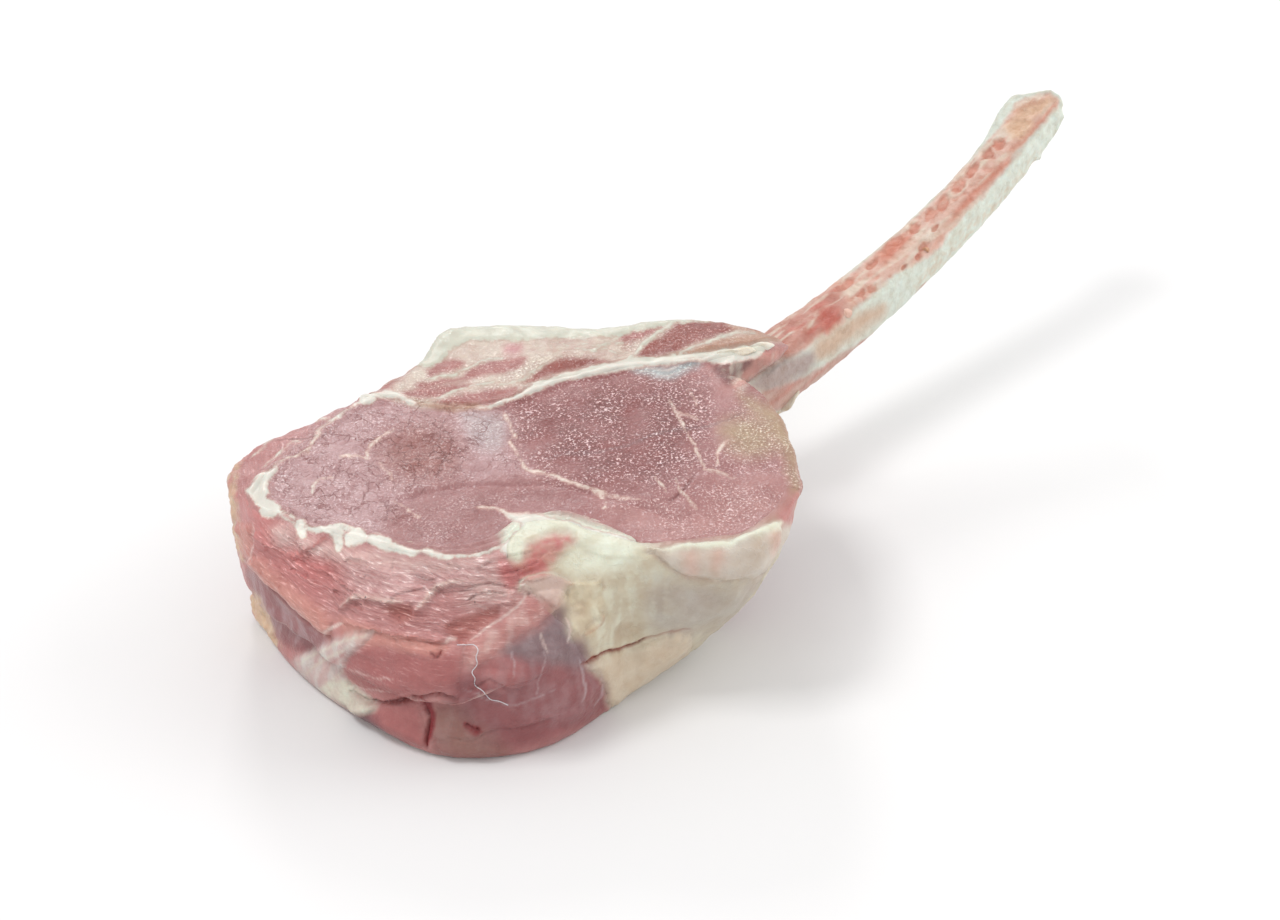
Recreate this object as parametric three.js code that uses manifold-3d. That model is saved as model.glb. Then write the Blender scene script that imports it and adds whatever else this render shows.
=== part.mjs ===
// Raw tomahawk steak: one thick rib steak on its long, sawn rib bone.
// The meat is three muscles, the two fat seams between them and the fat cap outside them,
// each a layer that runs through the whole thickness. Millimetres, +Z up. The steak lies on its
// lower cut face, and the origin is on that face, under the middle of the meat.

import * as THREE from "three";
import { mergeVertices } from "three/addons/utils/BufferGeometryUtils.js";
import Module from "manifold-3d";

const wasm = await Module();
wasm.setup();

// Driving dimensions

const THICKNESS = 52; // lower to upper cut face
const GAP = 0.3; // between neighbouring layers
const MIDDLE = new THREE.Vector2(5, 10); // of the upper cut face: bearings and reaches start here
const AROUND = 96; // facets round the meat
const SLIVER = 0.02; // facets thinner than this are taken out after a cut

// Edge of the upper cut face, anticlockwise from its left corner.
const RIM = [
  [-73, 1], [-68, -15], [-58, -26], [-43, -34], [-26, -40], [-9, -43], [8, -39], [24, -37],
  [42, -40], [58, -38], [74, -30], [81, -14], [80, 6], [77, 23], [71, 35], [63, 44],
  [80, 59.5], [69, 68], [54, 71], [26, 66.5], [-8, 68], [-18, 64], [-25, 48], [-40, 31], [-57, 16],
];

// How far the lower edge lies outside the upper one: [bearing in degrees, distance].
const FLARE = [
  [11, -20], [35, -16], [60, -7], [128, -3], [187, -3], [199, -3.5], [210, 0], [223, 6.5], [238, 13],
  [255, 20.5], [274, 22], [292, 10], [303, -3], [312, -12], [322, -20], [335, -27], [350, -26],
];
const FLARE_ENDS = 0.62; // share of the depth at which an outward flare is complete

// The tip of meat that overhangs the bone is a flap: the side goes in below it.
const TIP_UNDERCUT = { bearing: 34, half: 9, inwards: 17, from: 0.06, to: 0.2 };

// The outer muscle's torn lower edge overhangs the muscle below it: [bearing, height, overhang].
const LEDGE = [
  [150, 14, 0], [187, 14, 2.5], [210, 17, 4], [238, 19, 3.5], [255, 20, 3], [270, 26, 2.4], [284, 30, 0],
];
const LEDGE_DEPTH = 0.62; // share of the depth at which the rings of facets meet the ledge

// Fat cap over the front right side: [bearing, depth of the fat along the reach].
const FAT_DEPTH = [
  [230, 4], [262, 4], [268, 7], [274, 12.5], [288, 11], [300, 6.2], [308, 4.4], [330, 4.4], [350, 4],
];
const FAT_EDGE = [[1, 70], [4, 50], [18, 36], [26, 18], [32, -10]]; // left edge from the front: [x, z]
const FAT_RIGHT_END = 110; // past the right side of the meat
const FAT_BACK_END = -12; // y at which the cap stops on the right side
const FAT_ROLL = { from: 303, to: 348, out: 2.2, depth: 0.14, half: 0.12 }; // thick rolled upper edge

// Fat seams, as lines across the cut face with their width at each point: [x, y, width].
const STRIP_SEAM = [
  [-52, 37, 2.6], [-34, 29.5, 3], [-16, 26.6, 2.4], [-3, 27, 2.6], [11, 36.4, 3],
  [32, 46, 3.6], [54, 50.5, 5.4], [73, 57, 5], [92, 64, 5],
];
const RIM_SEAM = [
  [-33.4, 30.1, 1.8], [-41, 23, 2], [-53, 7, 1.8], [-62.5, -6, 2.6], [-64.5, -14.5, 4.2],
  [-55, -23.8, 3.2], [-41, -31, 2.8], [-26, -37.5, 2.4], [-11, -40.2, 2.2], [1, -34.5, 2.6],
  [7, -27.5, 2.6], [17, -25, 2.6], [27, -29.5, 2.6], [38, -38, 2.6], [52, -50, 2.6],
];
const RIM_SEAM_LEAN = 0.13; // share of its reach by which its lower edge lies further in
const SEAM_PROUD = 0.8; // the seams stand this far over the cut face
const SEAM_STEPS = 40;

// Rib bone, sawn flat on top: middle of the sawn face, width across it and depth below it.
const BONE = [
  { at: [50, 40, 43], width: 15, depth: 19 },
  { at: [69, 60.5, 45], width: 17, depth: 21 },
  { at: [94.4, 86.7, 48.5], width: 15.5, depth: 19.5 },
  { at: [126, 119.5, 57], width: 14.5, depth: 16 },
  { at: [146.5, 142.5, 66.5], width: 14.5, depth: 14.5 },
  { at: [160, 161.5, 74.5], width: 17, depth: 14 },
];
const BONE_STEPS = 40;
const BONE_SIDES = 20;
const BONE_SQUARENESS = 0.62; // 1 is an ellipse, less is squarer
const BONE_DISH = 0.5; // the sawn face is worn hollow by this much

// Rings of facets from the middle of the upper face, down the side, to the middle of the lower one:
// [share of the reach, share of the depth].
const RINGS = [
  [0, 0], [0.22, 0], [0.42, 0], [0.6, 0], [0.75, 0], [0.87, 0], [0.955, 0], [0.99, 0.012], [1, 0.045],
  [1, 0.1], [1, 0.17], [1, 0.26], [1, 0.36], [1, 0.47], [1, 0.57], [1, LEDGE_DEPTH], [0.995, 0.645],
  [0.995, 0.74], [1, 0.84], [0.998, 0.92], [0.985, 0.975], [0.96, 1], [0.6, 1], [0, 1],
];

// Helpers

const { clamp, euclideanModulo, lerp, radToDeg, smoothstep } = THREE.MathUtils;

// Values at a bearing of a closed list of [bearing, value, ...], on a smooth curve through its entries.
function around(list, bearing) {
  const count = list.length;
  const turn = euclideanModulo(bearing - list[0][0], 360) + list[0][0];
  const here = list.findLastIndex((entry) => entry[0] <= turn);
  const entry = (step) => list[euclideanModulo(here + step, count)];
  const span = (step) => euclideanModulo(entry(step + 1)[0] - entry(step)[0], 360);
  const t = (turn - entry(0)[0]) / span(0);
  const values = [];
  for (let k = 1; k < list[0].length; k++) {
    const slope = (entry(1)[k] - entry(-1)[k]) / (span(-1) + span(0)) * span(0);
    const nextSlope = (entry(2)[k] - entry(0)[k]) / (span(0) + span(1)) * span(0);
    const rise = entry(1)[k] - entry(0)[k];
    const bend = slope * (1 - t) - nextSlope * t + rise * (2 * t - 1);
    values.push(entry(0)[k] + rise * t + t * (1 - t) * bend);
  }
  return values;
}

// A smooth bump of height 1 that falls to 0 at a distance of half.
function bump(distance, half) {
  const t = clamp(1 - Math.abs(distance) / half, 0, 1);
  return t * t * (3 - 2 * t);
}

// A closed geometry as a solid that can be joined and cut.
function solid(geometry) {
  const bare = new THREE.BufferGeometry().setAttribute("position", geometry.getAttribute("position"));
  bare.setIndex(geometry.index);
  const merged = mergeVertices(bare, 1e-4);
  const triangles = [];
  for (let i = 0; i < merged.index.count; i += 3) {
    const [a, b, c] = merged.index.array.slice(i, i + 3);
    if (a !== b && b !== c && c !== a) triangles.push(a, b, c);
  }
  const made = new wasm.Mesh({
    numProp: 3,
    vertProperties: merged.attributes.position.array,
    triVerts: new Uint32Array(triangles),
  });
  return new wasm.Manifold(made);
}

// The pieces of a solid, largest first, without the slivers that a cut leaves along its edges.
function pieces(cut) {
  return cut.simplify(SLIVER).decompose().sort((a, b) => b.volume() - a.volume());
}

// A solid as a named mesh.
function meshOf(name, body, material) {
  const made = body.getMesh();
  const geometry = new THREE.BufferGeometry();
  geometry.setAttribute("position", new THREE.BufferAttribute(made.vertProperties, 3));
  geometry.setIndex(new THREE.BufferAttribute(made.triVerts, 1));
  geometry.computeVertexNormals();
  const mesh = new THREE.Mesh(geometry, material);
  mesh.name = name;
  return mesh;
}

// Whole piece of meat

const rimPoints = RIM.map(([x, y]) => new THREE.Vector3(x, y, 0));
const rimCurve = new THREE.CatmullRomCurve3(rimPoints, true, "centripetal");

// Low hills and hollows of the upper cut face.
function cutRelief(x, y) {
  const rightSwell = 1.6 * bump(Math.hypot(x - 48, (y - 2) * 1.2), 42);
  const leftSwell = 1.2 * bump(Math.hypot(x + 36, y - 6), 34);
  const valley = -1.5 * bump(Math.hypot((x - 4) * 0.55, y + 14), 16);
  const leftCornerDrop = -2.5 * bump(Math.hypot(x + 76, y), 20);
  return rightSwell + leftSwell + valley + leftCornerDrop;
}

// Share of the flare that the side has reached at a depth: outward early, inward late.
function flareShare(flare, depth) {
  return flare > 0 ? 1 - (1 - Math.min(1, depth / FLARE_ENDS)) ** 2 : depth * depth;
}

// Depth with the rings drawn up or down so that one of them follows the ledge.
function ringDepth(depth, ledgeHeight) {
  const at = 1 - ledgeHeight / THICKNESS;
  if (depth <= LEDGE_DEPTH) return (depth / LEDGE_DEPTH) * at;
  return lerp(at, 1, (depth - LEDGE_DEPTH) / (1 - LEDGE_DEPTH));
}

// A point of the meat's surface. inset(bearing) moves the side inwards, lift raises the upper cut face
// and drop lowers the lower one.
function meatPoint(turn, share, ringShare, { inset = () => 0, lift = 0, drop = 0 }) {
  const out = rimCurve.getPointAt(turn % 1);
  const ray = new THREE.Vector2(out.x, out.y).sub(MIDDLE);
  const bearing = radToDeg(ray.angle());
  const [flare] = around(FLARE, bearing);
  const [ledgeHeight, overhang] = around(LEDGE, bearing);
  const depth = ringDepth(ringShare, ledgeHeight);
  const belowLedge = ringShare > LEDGE_DEPTH ? (1 - ringShare) / (1 - LEDGE_DEPTH) : 0;
  const underLedge = Math.max(0, overhang) * belowLedge;
  const rollFade = bump(bearing - (FAT_ROLL.from + FAT_ROLL.to) / 2, (FAT_ROLL.to - FAT_ROLL.from) / 2);
  const roll = FAT_ROLL.out * rollFade * bump(depth - FAT_ROLL.depth, FAT_ROLL.half);
  const tip = TIP_UNDERCUT;
  const underTip = tip.inwards * bump(bearing - tip.bearing, tip.half) * smoothstep(depth, tip.from, tip.to);
  const side = flare * flareShare(flare, depth) - underLedge - underTip + roll - inset(bearing);
  ray.setLength((ray.length() + side) * share).add(MIDDLE);
  const height = (THICKNESS + cutRelief(ray.x, ray.y)) * (1 - depth);
  const moved = ringShare === 0 ? lift : ringShare === 1 ? -drop : 0;
  return [ray.x, ray.y, height + moved];
}

function meatSolid(change = {}) {
  const profile = RINGS.map(([share, depth]) => new THREE.Vector2(share, -depth)).reverse();
  const geometry = new THREE.LatheGeometry(profile, AROUND);
  const position = geometry.attributes.position;
  for (let v = 0; v < position.count; v++) {
    const [share, depth] = RINGS[RINGS.length - 1 - (v % RINGS.length)];
    const turn = Math.floor(v / RINGS.length) / AROUND;
    position.setXYZ(v, ...meatPoint(turn, share, depth, change));
  }
  return solid(geometry);
}

// Wall of material along a line of [x, y, width], taller than the meat. It stands upright, or leans
// so that it lies nearer the middle below the upper face.
function seamWall(line, spare, lean = 0) {
  const curve = new THREE.CatmullRomCurve3(line.map(([x, y, width]) => new THREE.Vector3(x, y, width)));
  const left = [];
  const right = [];
  for (let i = 0; i <= SEAM_STEPS; i++) {
    const { x, y, z: width } = curve.getPoint(i / SEAM_STEPS);
    const along = curve.getTangent(i / SEAM_STEPS).setZ(0).normalize();
    const half = width / 2 + spare;
    left.push(new THREE.Vector2(x - along.y * half, y + along.x * half));
    right.unshift(new THREE.Vector2(x + along.y * half, y - along.x * half));
  }
  const outline = new THREE.Shape([...left, ...right]);
  const wall = new THREE.ExtrudeGeometry(outline, { depth: THICKNESS * 2, bevelEnabled: false });
  wall.translate(0, 0, -THICKNESS / 2);
  const position = wall.attributes.position;
  for (let v = 0; v < position.count; v++) {
    const scale = 1 - lean * (1 - position.getZ(v) / THICKNESS);
    position.setX(v, lerp(MIDDLE.x, position.getX(v), scale));
    position.setY(v, lerp(MIDDLE.y, position.getY(v), scale));
  }
  return solid(wall);
}

// Block in front of the meat whose left side is the fat cap's slanting left edge.
function fatRegion(spare) {
  const top = FAT_EDGE[0][1];
  const bottom = FAT_EDGE.at(-1)[1];
  const points = FAT_EDGE.map(([x, z]) => new THREE.Vector2(x - spare, z));
  points.push(new THREE.Vector2(FAT_RIGHT_END, bottom), new THREE.Vector2(FAT_RIGHT_END, top));
  const block = new THREE.ExtrudeGeometry(new THREE.Shape(points), { depth: 150, bevelEnabled: false });
  return solid(block.rotateX(Math.PI / 2).translate(0, FAT_BACK_END + spare, 0));
}

// Rib bone

const boneLine = new THREE.CatmullRomCurve3(BONE.map(({ at }) => new THREE.Vector3(...at)));
const boneSizePoints = BONE.map(({ width, depth }) => new THREE.Vector3(width, depth, 0));
const boneSizes = new THREE.CatmullRomCurve3(boneSizePoints);

const squared = (v) => Math.sign(v) * Math.abs(v) ** BONE_SQUARENESS;

function boneSolid(spare) {
  const geometry = new THREE.CylinderGeometry(1, 1, 1, BONE_SIDES, BONE_STEPS);
  const position = geometry.attributes.position;
  const up = new THREE.Vector3(0, 0, 1);
  for (let v = 0; v < position.count; v++) {
    const along = clamp(position.getY(v) + 0.5, 0, 1);
    const { x: width, y: depth } = boneSizes.getPoint(along);
    const tangent = boneLine.getTangent(along);
    const across = new THREE.Vector3().crossVectors(tangent, up).normalize();
    const lift = new THREE.Vector3().crossVectors(across, tangent);
    const [a, b] = [position.getX(v), position.getZ(v)];
    const u = squared(a) * (width / 2 + spare);
    const w = squared(b) * (depth / 2 + spare) - depth / 2;
    const dish = b > 0.5 ? BONE_DISH * (1 - a * a) : 0;
    const point = boneLine.getPoint(along).addScaledVector(across, u).addScaledVector(lift, w - dish);
    if (along === 0) point.addScaledVector(tangent, -spare);
    position.setXYZ(v, point.x, point.y, point.z);
  }
  return solid(geometry);
}

// Layers

const fatDepth = (bearing) => around(FAT_DEPTH, bearing)[0];
const meat = meatSolid();
const proud = meatSolid({ lift: SEAM_PROUD });

// The fat cap is the meat outside a smaller, taller copy of it, and its space reaches past the meat.
const withinFat = meatSolid({ inset: fatDepth, lift: 5, drop: 5 });
const withinFatAndGap = meatSolid({ inset: (bearing) => fatDepth(bearing) - GAP, lift: 5, drop: 5 });
const overMeat = meatSolid({ inset: () => -3, lift: 4, drop: 4 });
const fatSpace = overMeat.subtract(withinFat).intersect(fatRegion(GAP));
const [fatCap] = pieces(meat.subtract(withinFatAndGap).intersect(fatRegion(0)));

const bone = boneSolid(0);
const boneSpace = boneSolid(GAP);
const bare = (body) => body.subtract(fatSpace).subtract(boneSpace);

const stripWall = seamWall(STRIP_SEAM, 0);
const stripSpace = seamWall(STRIP_SEAM, GAP);
const rimWall = seamWall(RIM_SEAM, 0, RIM_SEAM_LEAN);
const rimSpace = seamWall(RIM_SEAM, GAP, RIM_SEAM_LEAN);
const [stripSeam] = pieces(bare(proud.intersect(stripWall)));
const [rimSeam] = pieces(bare(proud.intersect(rimWall).subtract(stripSpace)));
const muscles = pieces(bare(meat.subtract(stripSpace).subtract(rimSpace)));

// The eye is the largest muscle. The outer muscle reaches furthest forward, and the strip lies behind.
const nearSide = (body) => body.boundingBox().min[1];
const [eye, ...others] = muscles.slice(0, 3);
const [outer, strip] = others.sort((a, b) => nearSide(a) - nearSide(b));

// Materials

const lean = new THREE.MeshStandardMaterial({ color: 0xb46a69, roughness: 0.42, metalness: 0 });
const redLean = new THREE.MeshStandardMaterial({ color: 0xb9605f, roughness: 0.4, metalness: 0 });
const marbled = new THREE.MeshStandardMaterial({ color: 0xcf9a8f, roughness: 0.45, metalness: 0 });
const fat = new THREE.MeshStandardMaterial({ color: 0xe6dcc6, roughness: 0.5, metalness: 0 });
const sawnBone = new THREE.MeshStandardMaterial({ color: 0xd9c9b8, roughness: 0.55, metalness: 0 });

const steak = new THREE.Group();
steak.add(
  meshOf("eye_muscle", eye, lean),
  meshOf("outer_muscle", outer, redLean),
  meshOf("rib_strip", strip, marbled),
  meshOf("strip_seam", stripSeam, fat),
  meshOf("rim_seam", rimSeam, fat),
  meshOf("fat_cap", fatCap, fat),
  meshOf("rib_bone", bone, sawnBone),
);

export default steak;
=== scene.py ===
# %% [markdown]
# # Dressing a raw tomahawk steak
# The frame holds the steak as seven plain solids: three muscles, two seams of fat, a cap of fat and
# the rib bone. This lesson gives each of them a fine skin, presses the folds, tears and pits into
# that skin, paints its fields of colour, and finishes it with a wet, slightly see-through material.
# Sizes are written in millimetres and turned to metres, Blender's unit, by `MM`.

# %% Load the frame
import math

import bmesh
import bpy
import numpy as np
from mathutils import Matrix, Vector, noise
from mathutils.bvhtree import BVHTree


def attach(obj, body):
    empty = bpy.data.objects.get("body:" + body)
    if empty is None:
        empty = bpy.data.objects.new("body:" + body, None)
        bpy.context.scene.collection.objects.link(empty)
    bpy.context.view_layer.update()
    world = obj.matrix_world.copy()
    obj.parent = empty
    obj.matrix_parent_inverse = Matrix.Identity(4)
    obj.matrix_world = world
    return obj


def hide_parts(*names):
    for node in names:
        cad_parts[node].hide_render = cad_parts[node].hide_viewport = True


MM = 0.001
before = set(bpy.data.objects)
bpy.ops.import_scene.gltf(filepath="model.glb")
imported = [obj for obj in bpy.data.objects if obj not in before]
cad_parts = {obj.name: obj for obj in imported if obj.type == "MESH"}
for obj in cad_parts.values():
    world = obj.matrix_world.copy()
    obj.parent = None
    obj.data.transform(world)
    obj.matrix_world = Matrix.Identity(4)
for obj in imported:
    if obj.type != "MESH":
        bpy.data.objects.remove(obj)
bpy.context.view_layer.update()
print("frame:", ", ".join(sorted(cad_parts)))

# %% [markdown]
# ## The camera
# The picture was taken with a long lens from 36 degrees above the table. The same place and lens
# are used here, and the same pinhole rule tells where any point of the meat lands in the picture.
# That lets a vein or a tear be drawn where it shows, in pixels of a 1280 by 920 picture.

# %% Camera
PICTURE_WIDTH, PICTURE_HEIGHT = 1280, 920
LENS, SENSOR = 85, 36
LOOKS_DOWN = math.radians(36)
STANDS_AT = np.array((37.92, -661.71, 533.54)) * MM
LENS_IN_PIXELS = LENS / SENSOR * PICTURE_WIDTH
RIGHT = np.array((1, 0, 0))
UP = np.array((0, math.sin(LOOKS_DOWN), math.cos(LOOKS_DOWN)))
AHEAD = np.array((0, math.cos(LOOKS_DOWN), -math.sin(LOOKS_DOWN)))
PIXELS_PER_MM = 3.56

camera = bpy.data.objects.new("camera", bpy.data.cameras.new("camera"))
camera.data.lens = LENS
camera.data.sensor_width = SENSOR
camera.data.clip_start = 0.01
camera.location = STANDS_AT
camera.rotation_euler = (math.pi / 2 - LOOKS_DOWN, 0, 0)
bpy.context.scene.collection.objects.link(camera)
bpy.context.scene.camera = camera


def in_picture(points):
    """Where points in metres land in the picture, in pixels."""
    seen = points - STANDS_AT
    depth = seen @ AHEAD
    across = PICTURE_WIDTH / 2 + LENS_IN_PIXELS * (seen @ RIGHT) / depth
    down = PICTURE_HEIGHT / 2 - LENS_IN_PIXELS * (seen @ UP) / depth
    return np.column_stack((across, down))


def sight(pixel):
    """The direction in which the camera sees a pixel."""
    across = (pixel[0] - PICTURE_WIDTH / 2) / LENS_IN_PIXELS
    down = (pixel[1] - PICTURE_HEIGHT / 2) / LENS_IN_PIXELS
    return Vector(AHEAD + across * RIGHT - down * UP).normalized()


print("origin at pixel", in_picture(np.zeros((1, 3))).round()[0])

# %% [markdown]
# ## Light and floor
# Raw meat is photographed under broad soft light. A white sky gives most of it. A panel overhead, a
# little to the left, casts the bone's shadow on the floor. A small one low behind is there for its
# reflection: each wet bump that tilts the right way catches it as a glint. A weak one at the right
# lifts the shadow there. The floor is a light grey, which this much light turns to white everywhere
# but in the shadows.

# %% Light and floor
SKY = 0.90
FLOOR_SIDE = 12.0
FLOOR_GREY = (0.725, 0.72, 0.72)


def soft_panel(name, toward, distance, side, power):
    """A square panel of light that faces the steak from the direction `toward`."""
    light = bpy.data.lights.new(name, "AREA")
    light.size = side
    light.energy = power
    panel = bpy.data.objects.new(name, light)
    panel.location = Vector(toward).normalized() * distance
    panel.rotation_euler = Vector(toward).to_track_quat("Z", "Y").to_euler()
    bpy.context.scene.collection.objects.link(panel)


world = bpy.data.worlds.new("white studio")
world.use_nodes = True
world.node_tree.nodes["Background"].inputs["Color"].default_value = (1, 1, 1, 1)
world.node_tree.nodes["Background"].inputs["Strength"].default_value = SKY
bpy.context.scene.world = world
bpy.context.scene.view_settings.view_transform = "Standard"
soft_panel("key panel", (-0.50, -0.08, 1.00), 1.6, 0.45, 9.0)
soft_panel("back panel", (-0.15, 0.90, 0.62), 1.5, 0.28, 4.5)
soft_panel("right panel", (0.90, 0.20, 0.55), 1.6, 1.0, 8.0)

floor_shape = bmesh.new()
bmesh.ops.create_grid(floor_shape, x_segments=1, y_segments=1, size=FLOOR_SIDE / 2)
floor = bpy.data.objects.new("floor", bpy.data.meshes.new("floor"))
floor_shape.to_mesh(floor.data)
floor_shape.free()
bpy.context.scene.collection.objects.link(floor)
paper = bpy.data.materials.new("matt grey paper")
paper.use_nodes = True
paper.node_tree.nodes["Principled BSDF"].inputs["Base Color"].default_value = (*FLOOR_GREY, 1)
paper.node_tree.nodes["Principled BSDF"].inputs["Roughness"].default_value = 0.9
paper.node_tree.nodes["Principled BSDF"].inputs["Specular IOR Level"].default_value = 0.0
floor.data.materials.append(paper)
print("lit by a white sky and three panels")

# %% [markdown]
# ## A fine skin over each solid
# The frame's solids are coarse triangles. Sculptors meet this with a voxel remesh: it rebuilds the
# surface from small even faces, which can then be pushed about. Each copy is welded first, because
# the frame's triangles are loose, and it is smoothed a little, since meat has no sharp corners.

# %% Fine copies
WELD = 0.001 * MM
COARSE = 1.0
SMOOTHING = 0.5


def smooth_over(shape, rounds):
    """Evens a shape out, some rounds over."""
    for _ in range(rounds):
        bmesh.ops.smooth_vert(shape, verts=shape.verts, factor=SMOOTHING,
                              use_axis_x=True, use_axis_y=True, use_axis_z=True)


def fine_copy(nodes, name, face, rounds):
    """A closed even skin over solids, with faces about `face` mm wide, smoothed `rounds` times."""
    mesh = bpy.data.meshes.new(name)
    welded = bmesh.new()
    for node in nodes:
        welded.from_mesh(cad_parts[node].data)
    bmesh.ops.remove_doubles(welded, verts=welded.verts, dist=WELD)
    welded.to_mesh(mesh)
    welded.free()
    piece = bpy.data.objects.new(name, mesh)
    bpy.context.scene.collection.objects.link(piece)
    skin = piece.modifiers.new("even skin", "REMESH")
    skin.mode = "VOXEL"
    skin.voxel_size = face * COARSE * MM
    even = bpy.data.meshes.new_from_object(piece.evaluated_get(bpy.context.evaluated_depsgraph_get()))
    piece.modifiers.clear()
    piece.data = even
    smooth = bmesh.new()
    smooth.from_mesh(even)
    smooth_over(smooth, rounds)
    smooth.to_mesh(even)
    smooth.free()
    even.name = name
    even.shade_smooth()
    print(f"{name}: {len(even.vertices)} points")
    return piece


def read(piece, what):
    """The points ("co") or outward directions ("normal") of a piece, one row each."""
    rows = np.empty(3 * len(piece.data.vertices), np.float32)
    piece.data.vertices.foreach_get(what, rows)
    return rows.reshape(-1, 3).astype(float)


def place(piece, points):
    """Puts a piece's points where `points` says, and none below the table."""
    points[:, 2] = np.maximum(points[:, 2], 0)
    piece.data.vertices.foreach_set("co", points.astype(np.float32).ravel())
    piece.data.update()


# %% [markdown]
# ## Uneven by rule
# Nothing in meat is flat or straight. Smooth noise gives swellings of a chosen width. The places
# where noise passes through zero make thin wandering lines, which serve as wrinkles. Noise cut into
# steps that rise slowly and drop at once makes overlapping shingles, the look of torn muscle. A seed
# moves the noise elsewhere, so that two patterns never coincide. Blender draws an offset for its vector
# noise from the clock, so that is fixed first, and each run gives the same result.

# %% Noise
SEED_STEP = np.array((17.3, 5.9, 11.1))
OFFSET_SEED = 5
noise.seed_set(OFFSET_SEED)


def soft(value, low, high):
    """0 below `low`, 1 above `high`, and an S-shaped step between them."""
    share = np.clip((value - low) / (high - low), 0, 1)
    return share * share * (3 - 2 * share)


def swell(points, width, seed):
    """Smooth swellings from about -1 to 1, some `width` mm wide."""
    return np.array([noise.noise(p) for p in (points / (width * MM) + SEED_STEP * seed).tolist()])


def wander(points, width, seed):
    """A smooth push in all three directions, some `width` mm wide."""
    return np.array([noise.noise_vector(p) for p in (points / (width * MM) + SEED_STEP * seed).tolist()])


def wrinkles(points, width, thin, seed):
    """1 along thin wandering lines that are about `width` mm apart, 0 elsewhere."""
    return 1 - soft(np.abs(swell(points, width, seed)), 0, thin)


def shingles(points, width, steps, seed):
    """Overlapping steps from 0 to 1 that rise slowly and drop at once."""
    rising = steps * swell(points, width, seed)
    return rising - np.floor(rising)


# %% [markdown]
# ## Closing the joins
# Where two pieces meet, the remesh rounds both rims, and that leaves a groove which no steak has. One
# skin over all the soft solids together has no such groove. So each rim is drawn up to that common
# skin wherever a neighbour is near, and from there on it follows the common skin's directions.

# %% Common skin
SOFT_NODES = ("eye_muscle", "outer_muscle", "rib_strip", "strip_seam", "rim_seam", "fat_cap")
JOIN_DEEP, JOIN_NEAR = 1.6, 2.0


def search_tree(meshes):
    """A tree that finds the nearest face of some meshes."""
    rows, faces = [], []
    for mesh in meshes:
        first = len(rows)
        rows += [vertex.co[:] for vertex in mesh.vertices]
        faces += [[first + corner for corner in face.vertices] for face in mesh.polygons]
    return BVHTree.FromPolygons(rows, faces)


common = fine_copy(SOFT_NODES, "common_skin", 0.8, 2)
common_skin = search_tree([common.data])
bpy.data.objects.remove(common)


def close_joins(piece, node):
    """The points of a piece with its rim drawn up to the common skin, how far each was drawn from 0
    to 1, and the outward directions, which at the rim are the common skin's."""
    neighbours = search_tree([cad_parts[other].data for other in SOFT_NODES if other != node])
    points, outward = read(piece, "co"), read(piece, "normal")
    drawn = np.zeros(len(points))
    for i, point in enumerate(points.tolist()):
        near = neighbours.find_nearest(point, JOIN_NEAR * MM)[3]
        if near is None:
            continue
        hit, up, _, deep = common_skin.find_nearest(point, JOIN_DEEP * MM)
        if hit is None:
            continue
        beside = 1 - soft(near / MM, 0.5 * JOIN_NEAR, JOIN_NEAR)
        shallow = 1 - soft(deep / MM, 0.6 * JOIN_DEEP, JOIN_DEEP)
        drawn[i] = beside * shallow
        points[i] += drawn[i] * (np.array(hit) - points[i])
        outward[i] += drawn[i] * (np.array(up) - outward[i])
    outward /= np.maximum(np.linalg.norm(outward, axis=1), 1e-9)[:, None]
    return points, drawn, outward


# %% [markdown]
# ## Drawing on the meat
# A vein, a tear or a patch of fat is drawn as a line or an outline in pixels of the picture. These
# helpers measure how far each point of the skin lies from the drawing, seen from the camera. The
# drawing is rounded first, and a little noise on the pixels makes every edge ragged.

# %% Lines and patches
FAR = 40.0
CURVE_STEPS = 4
CLIFF = 0.35


def rounded(line, closed=False):
    """A smooth curve through the drawn pixels."""
    line = np.array(line, float)
    before = np.roll(line, 1, 0) if closed else np.vstack((line[:1], line[:-1]))
    after = np.roll(line, -1, 0) if closed else np.vstack((line[1:], line[-1:]))
    beyond = np.roll(line, -2, 0) if closed else np.vstack((line[2:], line[-1:], line[-1:]))
    share = np.linspace(0, 1, CURVE_STEPS, endpoint=False)[:, None, None]
    curve = 0.5 * (2 * line + (after - before) * share
                   + (2 * before - 5 * line + 4 * after - beyond) * share ** 2
                   + (3 * line - before - 3 * after + beyond) * share ** 3)
    curve = curve.transpose(1, 0, 2).reshape(-1, 2)
    return curve if closed else curve[:len(curve) - CURVE_STEPS + 1]


def from_curve(spots, curve):
    """Pixels from each spot to a curve, positive below one drawn from left to right, and how near it is to
    the curve's ends: 0 at an end, 1 half way."""
    near = ((spots > curve.min(0) - FAR) & (spots < curve.max(0) + FAR)).all(1)
    close = spots[near]
    best = np.full(len(close), FAR)
    side = np.ones(len(close))
    along = np.zeros(len(close))
    pieces = len(curve) - 1
    for i, (start, end) in enumerate(zip(curve[:-1], curve[1:])):
        run = end - start
        out = close - start
        share = np.clip((out @ run) / max(run @ run, 1e-9), 0, 1)
        away = np.hypot(*(out - share[:, None] * run).T)
        nearer = away < best
        best[nearer] = away[nearer]
        along[nearer] = (i + share[nearer]) / pieces
        side[nearer] = np.where(run[0] * out[:, 1] - run[1] * out[:, 0] < 0, -1, 1)[nearer]
    gaps = np.full(len(spots), FAR)
    middle = np.zeros(len(spots))
    gaps[near] = best * side
    middle[near] = 1 - np.abs(2 * along - 1)
    return gaps, middle


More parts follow.
